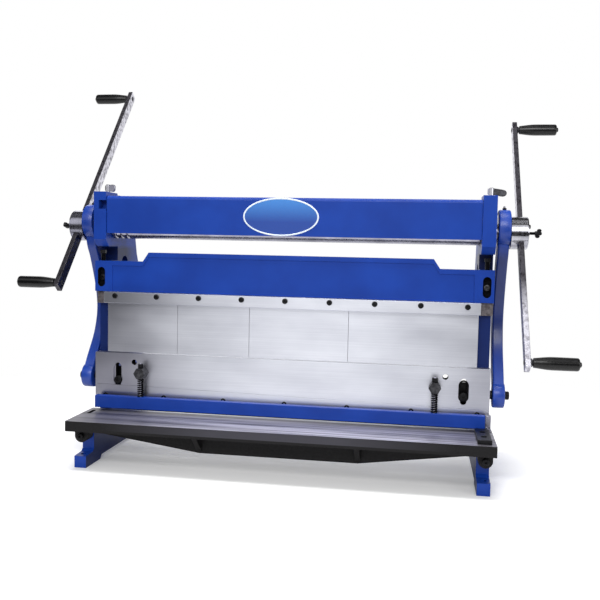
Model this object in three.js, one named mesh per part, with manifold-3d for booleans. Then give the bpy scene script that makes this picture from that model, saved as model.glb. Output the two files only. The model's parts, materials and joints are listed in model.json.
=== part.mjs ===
// Bench machine for sheet metal: a guillotine shear, a finger brake and three slip rolls share
// two cast side frames and one crank shaft with a sliding crank bar at each end.
// Millimetres. +X is to the right of a person who stands at the table, +Y goes away from them,
// +Z is up. Places are counted from the middle of the machine, the fingers' front face and the floor.

import * as THREE from 'three';
import { mergeVertices } from 'three/addons/utils/BufferGeometryUtils.js';
import Module from 'manifold-3d';

const wasm = await Module();
wasm.setup();

// Driving dimensions

const gap = 0.3;            // left between two pieces that touch
const run = 0.35;           // running clearance round a shaft
const over = 2;             // overrun of a cut

const workWidth = 762;      // the widest sheet, 30 in
const half = workWidth / 2;

const frame = {
  thick: 24.5, housingThick: 26.5, notch: 20, pocketDrop: 43,
  footFront: 106, ledgeDeep: 32, ledgeRise: 7, footTall: 23.4, padDeep: 69, padRise: 8,
  neckFront: 68, neckTall: 78.8, rearFoot: 235, rearPad: 70, rearFootTall: 34,
  waistBack: 205, waistTall: 250, rearLow: 172, rearHigh: 155,
  windowDeep: 34, housingFront: 12, housingTop: 48, shelfEnd: 102, shelfDrop: 49,
  footHoleR: 5.5, roundHoleR: 18, roundHoleY: 91, roundHoleDrop: 8,
};

const table = { thick: 20.5, front: 131.9, reach: 31.9, ribDeep: 44, ribThick: 14, ribY: 70,
  ribEndDeep: 14, webThick: 10, lugR: 13.6, lugIn: 15, lugThick: 27, lugDrop: 17, slotWide: 8,
  slotLong: 41, slotDeep: 9, slotInset: 13.9, slotY: 40,
  ribFlatShare: 0.4147 };
const blade = { thick: 8, lowTall: 15.6, highTall: 36.5, shear: 0.4, open: 9, rake: 7.1, screwR: 4.5,
  screwDeep: 1.5, count: 7, endInset: 23.2,
  screwShare: 0.56 };
const gauge = { wide: 26, tall: 8, front: 10.5, postWide: 11, postTall: 31, postDeep: 14, holeR: 4.5 };
const tableBolt = { r: 4, headR: 6.5, headTall: 8, long: 40, socketR: 3.2, socketDeep: 4 };

const ram = { thick: 20, proud: 3, rise: 119.7, bottomGap: 12.4, sideReach: 26.2, stroke: 18,
  slotInset: 24.2, slotWide: 12.5, slotLow: 47, slotHigh: 98.9, holeInset: 60, holeR: 5.8, holeRise: 100.9,
  clipWide: 27, clipThick: 8, clipLow: 38, clipHigh: 88, clipScrewR: 5.6, clipScrewRise: 62.5,
  clipHeadR: 8.4, clipHeadTall: 5, clipEdgeLeft: 2.2, clipEdgeRight: 6.3,
  stepWide: 20, stepLow: 52.3, stepHigh: 95.6, stepDeep: 3 };
const hold = { reach: 17.1, thick: 15, tall: 25.2, lift: 6.6, front: 27.1, rodInset: 80.2,
  studRise: 81.2, studAcross: 24.3, studReach: 26.7, studTail: 12, studTailR: 4.5, rodR: 3,
  nutR: 6.1, nutTall: 9, springOuter: 13.3, wire: 1.9, curls: 7 };

const finger = { thick: 16, tall: 127, tipGap: 1.7, seam: 0.4, widthShares: [6, 6, 8, 10], bevel: 9 };
const strip = { thick: 16, tall: 22.9, reach: 2.4, count: 9, endInset: 22.6,
  screwR: 5.5, screwTall: 4, endWide: 24, endTall: 25.4, endThick: 11 };
const beam = { tall: 63.7, crown: 19, thick: 20.3, proud: 3.4, reach: 27.2, crownInset: 77, crownRun: 12.7,
  ledge: 9.5, ledgeDeep: 2, ledgeInset: 10.5, webThick: 14, webTall: 62, slotReach: 13.3, slotWide: 16, slotLong: 40.9,
  slotRise: 9.7, slotDeep: 12, neckWide: 10, jackY: 7, jackR: 5, jackTall: 22.4, jackHeadR: 6.4,
  jackHeadTall: 7, lift: 7, boltR: 4.5, headR: 6.2, headTall: 7, boltLong: 34,
  boltShare: 0.48 };

const crank = { rise: 73, y: 34, shaftR: 12.5, collarR: 18, endGap: 1.5, eccentric: 9,
  discR: 27, hubR: 32, hubOut: 89, armGapLeft: 36, armGapRight: 32, slotTurnLeft: 40.7, slotTurnRight: 38,
  endScrewR: 3.8 };
const rolls = { centres: 43.5, nip: 1, upperShaftR: 10, rearY: 48, rearDrop: 6.8, lift: 2, rearLift: 15,
  grooveR: 2.6, groovePitch: 12.8, grooves: 3, grooveInset: 8.2, blockWide: 27, blockTall: 26,
  rearBlockWide: 25, studR: 5, knobR: 12, knobTall: 15 };
const gears = { crankTeeth: 27, upperTeeth: 18, thick: 9.8, tip: 2.1, root: 2.5, rootShare: 0.54, tipShare: 0.2 };
const arm = { thick: 23.5, bossR: 36, smallR: 25, low: 320, smallY: 21, width: 40, boltR: 8, headR: 8.2,
  headTall: 9 };
// The arm's middle line: how far down from the boss, as a share of its length, and how far behind it.
const armBowShares = [0.12, 0.21, 0.42, 0.587, 0.754, 0.915];
const armBow = [6, 23, 52, 60, 43, 5];

const bar = { long: 603, wide: 23, thick: 10, inset: 13, leftRise: 133, rightDrop: 2, spindleR: 4,
  rivetR: 5.5, rivetTall: 1.5, outFromHub: 9 };
const grip = { long: 78, neckR: 8.8, bodyR: 11.8, noseR: 5, nose: 4, stub: 4.5, stubR: 7.5,
  bodyShare: 0.4, cap: 3 };
const wing = { r: 3, out: 14, headLong: 13, headR: 9, headThick: 6, rootR: 4.5 };
const lever = { x: 18, y: 40, r: 4.5, tall: 18, paddleLong: 26, paddleTall: 15, paddleThick: 4,
  stubLong: 7, turnLeft: -25, turnRight: -8 };
const panel = { drop: 15.2, tall: 77.2, thick: 3, front: 9, flange: 18, badgeWide: 154, badgeTall: 76.4,
  badgeX: -13, badgeRise: 38.4, badgeThick: 1.6 };
const tie = { r: 14, y: 195, rise: 62, spigotR: 9, spigot: 12 };

// Heights and depths that follow from them

const tableTop = frame.neckTall + gap + table.thick;
const ramTop = tableTop + ram.rise;
const fingerTip = ramTop + finger.tipGap;
const beamLow = fingerTip + finger.tall + gap;
const beamTop = beamLow + beam.tall;
const crankZ = beamTop + crank.rise;
const panelLow = crankZ - panel.drop;
const housingTop = panelLow + panel.tall + frame.notch * 0.415;
const pocketTop = crankZ - frame.pocketDrop;
const frameFront = ram.thick - ram.proud + gap;
const plateOut = half + frame.thick;
const housingOut = half + frame.housingThick;
const armIns = { left: half + crank.armGapLeft, right: half + crank.armGapRight };
const hubOut = half + crank.hubOut;
const bladeY = -ram.proud - blade.shear;
const upperZ = crankZ + rolls.centres;
const rearY = crank.y + rolls.rearY;
const rearZ = crankZ - rolls.rearDrop;
const crankPitchR = rolls.centres * gears.crankTeeth / (gears.crankTeeth + gears.upperTeeth);
const upperPitchR = rolls.centres - crankPitchR;
const crankRollR = crankPitchR - rolls.nip / 2;
const freeRollR = upperPitchR - rolls.nip / 2;
const tableHalf = half + table.reach;
const holdHalf = half + hold.reach;
const rodX = half - hold.rodInset;
const stripHalf = half + strip.reach;
const beamHalf = half + beam.reach;
const beamSlotX = half + beam.slotReach;
const ramHalf = half + ram.sideReach;
const ramSlotX = half - ram.slotInset;
const gearIn = half + gap;
const gearOut = gearIn + gears.thick;
const blockIn = gearOut + gap * 3;

// Finishes

function finish(color, roughness, metalness) {
  return () => new THREE.MeshStandardMaterial({ color, roughness, metalness });
}
const blueEnamel = finish('#2445a0', 0.35, 0.1);
const castIron = finish('#3a393c', 0.7, 0.5);
const groundSteel = finish('#c3c4cb', 0.35, 0.9);
const brightSteel = finish('#9a9aa2', 0.3, 0.9);
const blackSteel = finish('#1b1b1d', 0.5, 0.6);
const blackPlastic = finish('#121214', 0.3, 0);
const bronze = finish('#8a6a3c', 0.4, 0.9);

// Solids

function solid(geometry) {
  const bare = geometry.clone();
  bare.deleteAttribute('normal');
  bare.deleteAttribute('uv');
  const merged = mergeVertices(bare, gap / 1000);
  const vertProperties = new Float32Array(merged.attributes.position.array);
  const triVerts = new Uint32Array(merged.index.array);
  return new wasm.Manifold(new wasm.Mesh({ numProp: 3, vertProperties, triVerts }));
}

function surface(manifold) {
  const mesh = manifold.getMesh();
  const geometry = new THREE.BufferGeometry();
  geometry.setAttribute('position', new THREE.BufferAttribute(mesh.vertProperties, 3));
  geometry.setIndex(new THREE.BufferAttribute(mesh.triVerts, 1));
  geometry.computeVertexNormals();
  return geometry;
}

function cut(body, ...tools) {
  return tools.reduce((left, tool) => left.subtract(tool), body);
}

function join(body, ...others) {
  return others.reduce((sum, other) => sum.add(other), body);
}

// Local axes of an outline that is drawn in the plane square to the named axis.
const across = {
  x: [new THREE.Vector3(0, 1, 0), new THREE.Vector3(0, 0, 1), new THREE.Vector3(1, 0, 0)],
  y: [new THREE.Vector3(1, 0, 0), new THREE.Vector3(0, 0, 1), new THREE.Vector3(0, -1, 0)],
  z: [new THREE.Vector3(1, 0, 0), new THREE.Vector3(0, 1, 0), new THREE.Vector3(0, 0, 1)],
};

// A prism between two places on an axis. Outlines are [y, z] across x, [x, z] across y, [x, y] across z.
function prism(axis, outline, a, b) {
  const low = Math.min(a, b);
  const high = Math.max(a, b);
  const shape = outline instanceof THREE.Shape ? outline
    : new THREE.Shape(outline.map(([u, v]) => new THREE.Vector2(u, v)));
  const geometry = new THREE.ExtrudeGeometry(shape, { depth: high - low, bevelEnabled: false, curveSegments: 8 });
  const [u, v, w] = across[axis];
  geometry.applyMatrix4(new THREE.Matrix4().makeBasis(u, v, w));
  const start = axis === 'y' ? high : low;
  geometry.translate(axis === 'x' ? start : 0, axis === 'y' ? start : 0, axis === 'z' ? start : 0);
  return solid(geometry);
}

function block(x, y, z) {
  const outline = [[x[0], y[0]], [x[1], y[0]], [x[1], y[1]], [x[0], y[1]]];
  return prism('z', outline, z[0], z[1]);
}

// A round bar along an axis, or a hexagon with a flat on top. The place is the two other
// coordinates, in x, y, z order.
function rod(axis, radius, a, b, [p, q], sides = 20) {
  const geometry = new THREE.CylinderGeometry(radius, radius, Math.abs(b - a), sides);
  const middle = (a + b) / 2;
  if (sides === 6) geometry.rotateY(Math.PI / sides);
  if (b < a) geometry.rotateX(Math.PI);
  if (axis === 'x') geometry.rotateZ(-Math.PI / 2).translate(middle, p, q);
  if (axis === 'y') geometry.translate(p, middle, q);
  if (axis === 'z') geometry.rotateX(Math.PI / 2).translate(p, q, middle);
  return solid(geometry);
}

// A slot with round ends, along z, cut through y.
function slotY(x, wide, low, high, a, b) {
  const r = wide / 2;
  const shape = new THREE.Shape();
  shape.absarc(x, high - r, r, 0, Math.PI);
  shape.absarc(x, low + r, r, Math.PI, 2 * Math.PI);
  return prism('y', shape, a, b);
}

const machine = new THREE.Group();

function piece(parent, name, form, material, at = [0, 0, 0]) {
  const mesh = new THREE.Mesh(form.isBufferGeometry ? form : surface(form), material());
  mesh.name = name;
  mesh.position.set(...at);
  parent.add(mesh);
  return mesh;
}

const sides = [['left', -1], ['right', 1]];

// Side frames: a cast plate with two foot pads, a neck under the table, a front strip for the
// ram and the beam, a pocket for the jack screw and a thicker roll housing on top.

function sideFrame(side) {
  const f = frame;
  const ledgeBack = f.footFront - f.ledgeDeep;
  const padBack = f.footFront - f.padDeep;
  const shelf = housingTop - f.shelfDrop * 0.4;
  const outline = [
    [-f.footFront, 0], [-f.footFront, f.footTall], [-ledgeBack, f.footTall + f.ledgeRise / 4],
    [-f.neckFront, f.footTall + f.ledgeRise], [-f.neckFront, f.neckTall], [frameFront, f.neckTall],
    [frameFront, beamTop + gap], [frameFront + f.windowDeep, beamTop + gap],
    [frameFront + f.windowDeep, pocketTop], [-f.housingFront + f.notch * 0.8, pocketTop],
    [-f.housingFront, pocketTop + f.notch * 0.75], [-f.housingFront, housingTop],
    [f.housingTop, housingTop], [f.housingTop + f.ledgeRise, shelf], [f.shelfEnd, shelf],
    [f.rearHigh - f.ledgeRise, housingTop - f.shelfDrop * 1.5], [f.rearHigh, crankZ - f.ledgeDeep],
    [f.rearHigh + f.ledgeRise, beamTop + f.ledgeRise * 2], [f.rearLow, beamTop - f.ledgeRise],
    [f.waistBack, f.waistTall], [f.rearFoot, f.rearFootTall], [f.rearFoot, 0],
    [f.rearFoot - f.rearPad, 0], [f.rearFoot - f.rearPad - f.ledgeRise, f.padRise],
    [-padBack + f.ledgeRise, f.padRise], [-padBack, 0],
  ];
  const s = side;
  const housing = [[-f.housingFront, pocketTop + f.notch * 0.75], [-f.housingFront, housingTop],
    [f.housingTop, housingTop], [f.housingTop, crankZ - f.ledgeDeep],
    [-f.housingFront + f.notch * 0.8, pocketTop]];
  let body = prism('x', outline, s * half, s * plateOut);
  body = join(body, prism('x', housing, s * half, s * housingOut));
  const blockHalf = rolls.blockWide / 2 + gap;
  const window = block([s * (half - over), s * (housingOut + over)].sort((a, b) => a - b),
    [crank.y - blockHalf, crank.y + blockHalf],
    [upperZ - rolls.blockTall / 2 - gap, upperZ + rolls.blockTall / 2 + rolls.lift + gap]);
  const rearHalf = rolls.rearBlockWide / 2 + gap;
  const rearWindow = block([s * (half - over), s * (plateOut + over)].sort((a, b) => a - b),
    [rearY - rearHalf, rearY + rearHalf],
    [rearZ - rolls.blockTall / 2 - gap, rearZ + rolls.blockTall / 2 + rolls.rearLift + gap]);
  const inside = s * (half - over);
  const outside = s * (housingOut + over);
  body = cut(body, window, rearWindow,
    rod('x', crank.shaftR + run * 10 + gap, inside, outside, [crank.y, crankZ]),
    rod('x', f.roundHoleR, inside, outside, [f.roundHoleY, beamTop - f.roundHoleDrop]),
    rod('z', f.footHoleR, -over, f.footTall + over * 2,
      [s * (half + f.thick / 2), -f.footFront + f.ledgeDeep / 2], 16),
    rod('z', lever.r + gap, upperZ, housingTop + over, [s * (half + lever.x), lever.y], 16),
    rod('z', rolls.studR + gap, rearZ, shelf + over, [s * (half + f.thick / 2), rearY], 16),
    rod('y', tableBolt.r + gap, -f.neckFront - over, -f.neckFront + tableBolt.long - table.lugThick + over,
      [s * (half + table.lugIn), tableTop - table.thick - table.lugDrop], 16),
    rod('y', beam.boltR + gap, frameFront - over, frameFront + beam.boltLong,
      [s * beamSlotX, beamLow + beam.slotRise + beam.slotLong * beam.boltShare], 16),
    rod('x', tie.spigotR + gap, inside, s * (half + tie.spigot), [tie.y, tie.rise], 16));
  if (s > 0) {
    const toothGap = gears.tip + gap * 3;
    const pocketEnd = gearOut + gap * 2;
    body = cut(body, rod('x', crankPitchR + toothGap, inside, pocketEnd, [crank.y, crankZ], 28),
      rod('x', upperPitchR + toothGap + rolls.lift, inside, pocketEnd, [crank.y, upperZ], 28));
  } else {
    const low = upperZ - rolls.blockTall * 0.335;
    body = cut(body, block([-half - f.notch * 0.8, inside + over * 2], [-f.housingFront - over, f.notch * 0.4],
      [low, low + f.notch * 0.9]));
  }
  return body;
}

for (const [name, s] of sides) {
  piece(machine, `${name}_side_frame`, sideFrame(s), blueEnamel);
}
const tieSolid = join(rod('x', tie.r, -half + gap, half - gap, [0, 0]),
  rod('x', tie.spigotR, -half - tie.spigot + gap, half + tie.spigot - gap, [0, 0]));
piece(machine, 'rear_tie_bar', tieSolid, blackSteel, [0, tie.y, tie.rise]);

// Table: a ribbed casting on the two necks, with the lower shear blade along its back edge.

function tableCasting() {
  const t = table;
  const low = -t.thick;
  const ledge = -blade.lowTall - gap;
  const back = bladeY;
  let body = block([-tableHalf, tableHalf], [-t.front, back], [low, 0]);
  const inner = half - gap;
  const ribFlat = half * t.ribFlatShare;
  const rib = [[-inner, low + over], [-inner, low - t.ribEndDeep], [-ribFlat, low - t.ribDeep],
    [ribFlat, low - t.ribDeep], [inner, low - t.ribEndDeep], [inner, low + over]];
  body = join(body, prism('y', rib, -t.ribY, -t.ribY + t.ribThick));
  for (const [, s] of sides) {
    const web = [[-t.ribY + over, low + over], [-t.ribY + over, low - t.ribDeep + over],
      [-t.front + t.ribThick, low + over]];
    const webX = s * ribFlat;
    body = join(body, prism('x', web, webX - t.webThick / 2, webX + t.webThick / 2));
    const lugX = s * (half + t.lugIn);
    const lugY = [-frame.neckFront - gap - t.lugThick, -frame.neckFront - gap];
    const lugSides = [lugX - t.lugR, lugX + t.lugR];
    body = join(body, rod('y', t.lugR, lugY[0], lugY[1], [lugX, low - t.lugDrop], 32),
      block(lugSides, lugY, [low - t.lugDrop, low + over]));
    body = cut(body, rod('y', tableBolt.r + gap, lugY[0] - over, lugY[1] + over, [lugX, low - t.lugDrop], 16));
  }
  const seat = block([-half - gap, half + gap], [back - blade.thick - gap, back + over], [ledge, over]);
  const slot = new THREE.Shape();
  slot.absarc(-tableHalf + t.slotInset, -t.slotY + t.slotLong / 2 - t.slotWide, t.slotWide / 2, 0, Math.PI);
  slot.absarc(-tableHalf + t.slotInset, -t.slotY - t.slotLong / 2 + t.slotWide, t.slotWide / 2, Math.PI, 2 * Math.PI);
  return cut(body, seat, prism('z', slot, -t.slotDeep, over));
}
piece(machine, 'table', tableCasting(), castIron, [0, 0, tableTop]);

const lowerBlade = block([-half, half], [-blade.thick, 0], [-blade.lowTall, 0]);
piece(machine, 'lower_blade', lowerBlade, groundSteel, [0, bladeY, tableTop]);

function capScrew(size, axisSign = -1) {
  const head = rod('y', size.headR, 0, axisSign * size.headTall, [0, 0], 18);
  const shank = rod('y', size.r, -axisSign * size.long, axisSign * over / 2, [0, 0], 12);
  const socket = rod('y', size.socketR, axisSign * (size.headTall - size.socketDeep),
    axisSign * (size.headTall + over), [0, 0], 6);
  return cut(join(head, shank), socket);
}

for (const [name, s] of sides) {
  const face = -frame.neckFront - gap - table.lugThick - gap;
  piece(machine, `${name}_table_bolt`, capScrew(tableBolt), blackSteel,
    [s * (half + table.lugIn), face, tableTop - table.thick - table.lugDrop]);
}

// Side gauge: a squaring bar at the table's right end, with a post behind the hold-down bar's end.

function sideGauge() {
  const inX = holdHalf + gap - gauge.wide + gauge.postWide - over * 2.5;
  const barX = [inX, inX + gauge.wide];
  const barY = [-table.front + gauge.front, -hold.front - over / 2];
  const postX = [holdHalf + gap * 2, holdHalf + gap * 2 + gauge.postWide];
  const postY = [-ram.proud - gauge.postDeep - over, -ram.proud - over];
  let body = join(block(barX, barY, [0, gauge.tall]),
    block(postX, [barY[1] - gauge.postWide, postY[1]], [0, gauge.tall]),
    block(postX, postY, [0, gauge.postTall]));
  const middle = (barX[0] + barX[1]) / 2;
  for (const share of [0.3, 0.69]) {
    const y = barY[0] + (barY[1] - barY[0]) * share;
    body = cut(body, rod('z', gauge.holeR, -over, gauge.tall + over, [middle, y], 16));
  }
  return body;
}
piece(machine, 'side_gauge', sideGauge(), castIron, [0, 0, tableTop + gap]);

// Brake beam: a cast bar across the two frames, with the fingers and the clamp strip below it.

function brakeBeam() {
  const b = beam;
  const crownLow = half - b.crownInset;
  const crownHigh = crownLow - b.crownRun;
  const outline = [[-beamHalf, 0], [beamHalf, 0], [beamHalf, b.tall], [crownLow, b.tall],
    [crownHigh, b.tall + b.crown], [-crownHigh, b.tall + b.crown], [-crownLow, b.tall],
    [-beamHalf, b.tall]];
  const low = b.tall - b.ledge;
  const ledgeEnd = half - b.ledgeInset;
  const face = [[-ledgeEnd, -over], [ledgeEnd, -over], [ledgeEnd, low], [crownLow, low],
    [crownHigh, low + b.crown], [-crownHigh, low + b.crown], [-crownLow, low], [-ledgeEnd, low]];
  const back = finger.thick + gap;
  const webBack = back + b.webThick;
  let body = cut(prism('y', outline, -b.proud, -b.proud + b.thick),
    prism('y', face, -b.proud - over, -b.proud + b.ledgeDeep));
  body = join(body, block([-half + gap, half - gap], [back, webBack], [-b.webTall, b.tall / 2]));
  for (const [, s] of sides) {
    const x = s * beamSlotX;
    body = cut(body,
      slotY(x, b.slotWide, b.slotRise, b.slotRise + b.slotLong, -b.proud - over, -b.proud + b.slotDeep),
      slotY(x, b.neckWide, b.slotRise + b.slotWide / 5, b.slotRise + b.slotLong - b.slotWide / 5, 0, b.thick),
      rod('z', b.jackR + gap, b.tall - b.jackTall / 3, b.tall + over, [x, b.jackY], 16));
  }
  return body;
}
piece(machine, 'brake_beam', brakeBeam(), blueEnamel, [0, 0, beamLow]);

for (const [name, s] of sides) {
  const jack = join(rod('z', beam.jackR, -beam.jackTall / 3 + gap, beam.jackTall - beam.jackHeadTall + over, [0, 0], 16),
    rod('z', beam.jackHeadR, beam.jackTall - beam.jackHeadTall, beam.jackTall, [0, 0], 6));
  piece(machine, `${name}_jack_screw`, jack, blackSteel, [s * beamSlotX, beam.jackY, beamTop]);
  const bolt = capScrew({ r: beam.boltR, headR: beam.headR, headTall: beam.headTall,
    long: beam.boltLong + beam.thick - beam.slotDeep, socketR: beam.headR / 2, socketDeep: beam.headTall / 2 });
  piece(machine, `${name}_beam_bolt`, bolt, blackSteel,
    [s * beamSlotX, beam.slotDeep - beam.proud - gap, beamLow + beam.slotRise + beam.slotLong * beam.boltShare]);
}

// Fingers: four tool steel blades of different widths, bevelled behind to a narrow bending edge.

const widthTotal = finger.widthShares.reduce((sum, share) => sum + share, 0);
const fingerNames = ['finger_far_left', 'finger_mid_left', 'finger_mid_right', 'finger_far_right'];
const fingerSection = [[0, 0], [finger.thick - finger.bevel, 0], [finger.thick, finger.bevel * 3],
  [finger.thick, finger.tall], [0, finger.tall]];
let fingerX = -half;
finger.widthShares.forEach((share, index) => {
  const width = workWidth * share / widthTotal;
  const body = prism('x', fingerSection, finger.seam / 2, width - finger.seam / 2);
  piece(machine, fingerNames[index], body, groundSteel, [fingerX, 0, fingerTip]);
  fingerX += width;
});

function clampStrip() {
  const pitch = (half - strip.endInset) * 2 / (strip.count - 1);
  let body = block([-stripHalf, stripHalf], [-strip.thick, -gap], [0, strip.tall]);
  for (let i = 0; i < strip.count; i += 1) {
    const x = (i - (strip.count - 1) / 2) * pitch;
    body = join(body, rod('y', strip.screwR, -strip.thick - strip.screwTall, -strip.thick + over,
      [x, strip.tall * 0.66], 12));
  }
  return body;
}
const stripLow = beamLow - gap - strip.tall;
piece(machine, 'clamp_strip', clampStrip(), groundSteel, [0, 0, stripLow]);
for (const [name, s] of sides) {
  const x = [s * (stripHalf + gap), s * (stripHalf + gap + strip.endWide)].sort((a, b) => a - b);
  const endBlock = block(x, [frameFront - gap - strip.endThick, frameFront - gap], [0, strip.endTall]);
  piece(machine, `${name}_end_block`, endBlock, groundSteel, [0, 0, beamLow - gap - strip.endTall]);
}

// Ram: a ground plate that slides on the frames' front strips, with the upper shear blade.

const ramGroup = new THREE.Group();
ramGroup.position.set(0, -ram.proud, ramTop);
machine.add(ramGroup);
const ramTall = ram.rise - ram.bottomGap;
const bladeLow = -ram.rise + blade.open;

// The upper blade and the plate's lower edge are raked, so that the cut starts at the right end.
function raked(low, high, a, b, reach = ramHalf) {
  const rise = blade.rake * reach / ramHalf;
  return prism('y', [[-reach, low + rise], [reach, low - rise], [reach, high - rise], [-reach, high + rise]], a, b);
}

function ramPlate() {
  let body = prism('y', [[-ramHalf, -ramTall + blade.rake], [ramHalf, -ramTall - blade.rake], [ramHalf, 0],
    [-ramHalf, 0]], 0, ram.thick);
  body = cut(body, raked(-ramTall - blade.highTall, bladeLow + blade.highTall + gap, -over, blade.thick + gap,
    ramHalf + over));
  for (const [, s] of sides) {
    body = cut(body,
      slotY(s * ramSlotX, ram.slotWide, ram.slotLow - ram.rise, ram.slotHigh - ram.rise, -over, ram.thick + over),
      slotY(s * ramSlotX, ram.stepWide, ram.stepLow - ram.rise, ram.stepHigh - ram.rise, -over, ram.stepDeep),
      rod('y', ram.holeR, -over, ram.thick + over, [s * (half - ram.holeInset), ram.holeRise - ram.rise], 16),
      rod('y', hold.studTailR + gap, -over, hold.studTail + gap, [s * rodX, hold.studRise - ram.rise], 16));
  }
  return body;
}
piece(ramGroup, 'ram_plate', ramPlate(), groundSteel);

let upperBlade = raked(0, blade.highTall, 0, blade.thick);
const bladePitch = (ramHalf - blade.endInset) * 2 / (blade.count - 1);
for (let i = 0; i < blade.count; i += 1) {
  const x = (i - (blade.count - 1) / 2) * bladePitch;
  upperBlade = join(upperBlade, rod('y', blade.screwR, -blade.screwDeep, over,
    [x, blade.highTall * blade.screwShare], 12));
}
piece(ramGroup, 'upper_blade', upperBlade, groundSteel, [0, 0, bladeLow]);

// A clip behind each slot takes a back gauge rod. Its screw goes through the slot, and both clips
// are the same way round.
const clipEdges = { left: ram.clipEdgeLeft, right: ram.clipEdgeRight };
for (const [name, s] of sides) {
  const slotX = s * ramSlotX;
  const screwZ = ram.clipScrewRise - ram.rise;
  const clipX = [slotX - clipEdges[name], slotX - clipEdges[name] + ram.clipWide];
  const clip = join(block(clipX, [ram.thick + gap, ram.thick + gap + ram.clipThick],
    [ram.clipLow - ram.rise, ram.clipHigh - ram.rise]),
  rod('y', ram.clipScrewR, ram.stepDeep - over, ram.thick + over, [slotX, screwZ], 16),
  rod('y', ram.clipHeadR, ram.stepDeep - gap - ram.clipHeadTall, ram.stepDeep - gap, [slotX, screwZ], 20));
  piece(ramGroup, `${name}_gauge_clip`, clip, blackSteel);
}

// Hold-down: a bar on two rods that slide in studs on the ram, each with a spring.

const rodY = -hold.front + hold.thick / 2 + ram.proud;
const studUnder = hold.studAcross / 2 * Math.cos(Math.PI / 6);
for (const [name, s] of sides) {
  let stud = join(rod('y', hold.studAcross / 2, -hold.studReach, -gap, [0, 0], 6),
    rod('y', hold.studTailR, -gap - over, hold.studTail, [0, 0], 16));
  stud = cut(stud, rod('z', hold.rodR + run, -hold.studAcross, hold.studAcross, [0, rodY], 16));
  piece(ramGroup, `${name}_hold_down_stud`, stud, brightSteel, [s * rodX, 0, hold.studRise - ram.rise]);
}

const holdLow = tableTop + hold.lift;
const studZ = tableTop + hold.studRise;
let holdBar = block([-holdHalf, holdHalf], [-hold.thick / 2, hold.thick / 2], [0, hold.tall]);
const nutLow = studZ - holdLow + studUnder + gap;
for (const [, s] of sides) {
  const x = s * rodX;
  holdBar = join(holdBar, rod('z', hold.rodR, hold.tall - over, nutLow + hold.nutTall + over / 2, [x, 0], 16),
    rod('z', hold.nutR, nutLow, nutLow + hold.nutTall, [x, 0], 6));
}
piece(machine, 'hold_down_bar', holdBar, blueEnamel, [0, rodY - ram.proud, holdLow]);

// A spring is one tube of five sides, eight steps to a curl, with a short straight end at each side.
// It is swept by hand so that its ends stand square to what they meet.

function springTube(outer, wire, curls, tall) {
  const ring = 5;
  const steps = 8;
  const radius = (outer - wire) / 2;
  const middle = [];
  const pitch = (tall - wire * 3) / curls;
  middle.push(new THREE.Vector3(radius, 0, 0));
  for (let i = 0; i <= curls * steps; i += 1) {
    const turn = i / steps * Math.PI * 2;
    const z = wire * 1.5 + pitch * i / steps;
    middle.push(new THREE.Vector3(radius * Math.cos(turn), radius * Math.sin(turn), z));
  }
  middle.push(new THREE.Vector3(radius, 0, tall));
  const points = [];
  middle.forEach((centre, i) => {
    const ends = i === 0 || i === middle.length - 1;
    const before = middle[Math.max(i - 1, 0)];
    const after = middle[Math.min(i + 1, middle.length - 1)];
    const along = ends ? new THREE.Vector3(0, 0, 1) : after.clone().sub(before).normalize();
    const out = new THREE.Vector3(centre.x, centre.y, 0).normalize();
    out.addScaledVector(along, -out.dot(along)).normalize();
    const side = along.clone().cross(out);
    for (let k = 0; k < ring; k += 1) {
      const turn = k / ring * Math.PI * 2;
      const p = centre.clone().addScaledVector(out, Math.cos(turn) * wire / 2);
      points.push(p.addScaledVector(side, Math.sin(turn) * wire / 2));
    }
  });
  const index = [];
  const last = middle.length - 1;
  for (let i = 0; i < last; i += 1) {
    for (let k = 0; k < ring; k += 1) {
      const a = i * ring + k;
      const b = i * ring + (k + 1) % ring;
      index.push(a, b, b + ring, a, b + ring, a + ring);
    }
  }
  for (let k = 1; k < ring - 1; k += 1) {
    index.push(0, k + 1, k, last * ring, last * ring + k, last * ring + k + 1);
  }
  const geometry = new THREE.BufferGeometry();
  geometry.setAttribute('position', new THREE.Float32BufferAttribute(points.flatMap((p) => p.toArray()), 3));
  geometry.setIndex(index);
  geometry.computeVertexNormals();
  let least = Infinity;
  for (let i = 0; i < middle.length; i += 1) {
    for (let j = i + steps - 2; j < middle.length; j += 1) {
      least = Math.min(least, middle[i].distanceTo(middle[j]) - wire);
    }
  }
  console.log('spring least gap to itself, mm:', least.toFixed(2));
  return geometry;
}

const springLow = holdLow + hold.tall + gap;
const springTall = studZ - studUnder - gap - springLow;
for (const [name, s] of sides) {
  const form = springTube(hold.springOuter, hold.wire, hold.curls, springTall);
  piece(machine, `${name}_spring`, form, blackSteel, [s * rodX, rodY - ram.proud, springLow]);
}

// Rolls: the lower one is the crank shaft itself, the upper one is geared to it, and the rear
// one runs free in blocks that lift. The lower and rear rolls have grooves for wired edges.

// A turned piece along x. Its steps are [radius, from, to] in order along the shaft.
function turnedSolid(steps, sides) {
  const profile = [[0, steps[0][1]]];
  for (const [r, a, b] of steps) profile.push([r, a], [r, b]);
  profile.push([0, steps[steps.length - 1][2]]);
  const lathe = new THREE.LatheGeometry(profile.map(([r, x]) => new THREE.Vector2(r, x)), sides);
  return solid(lathe.rotateZ(-Math.PI / 2));
}

function rollSteps(radius, grooved) {
  const face = half - crank.endGap;
  if (!grooved) return [[radius, -face, face]];
  const steps = [];
  let x = -face;
  for (let i = 0; i < rolls.grooves; i += 1) {
    const middle = -face + rolls.grooveInset + i * rolls.groovePitch;
    steps.push([radius, x, middle - rolls.grooveR], [radius - rolls.grooveR, middle, middle]);
    x = middle + rolls.grooveR;
  }
  steps.push([radius, x, face]);
  return steps;
}

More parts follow.
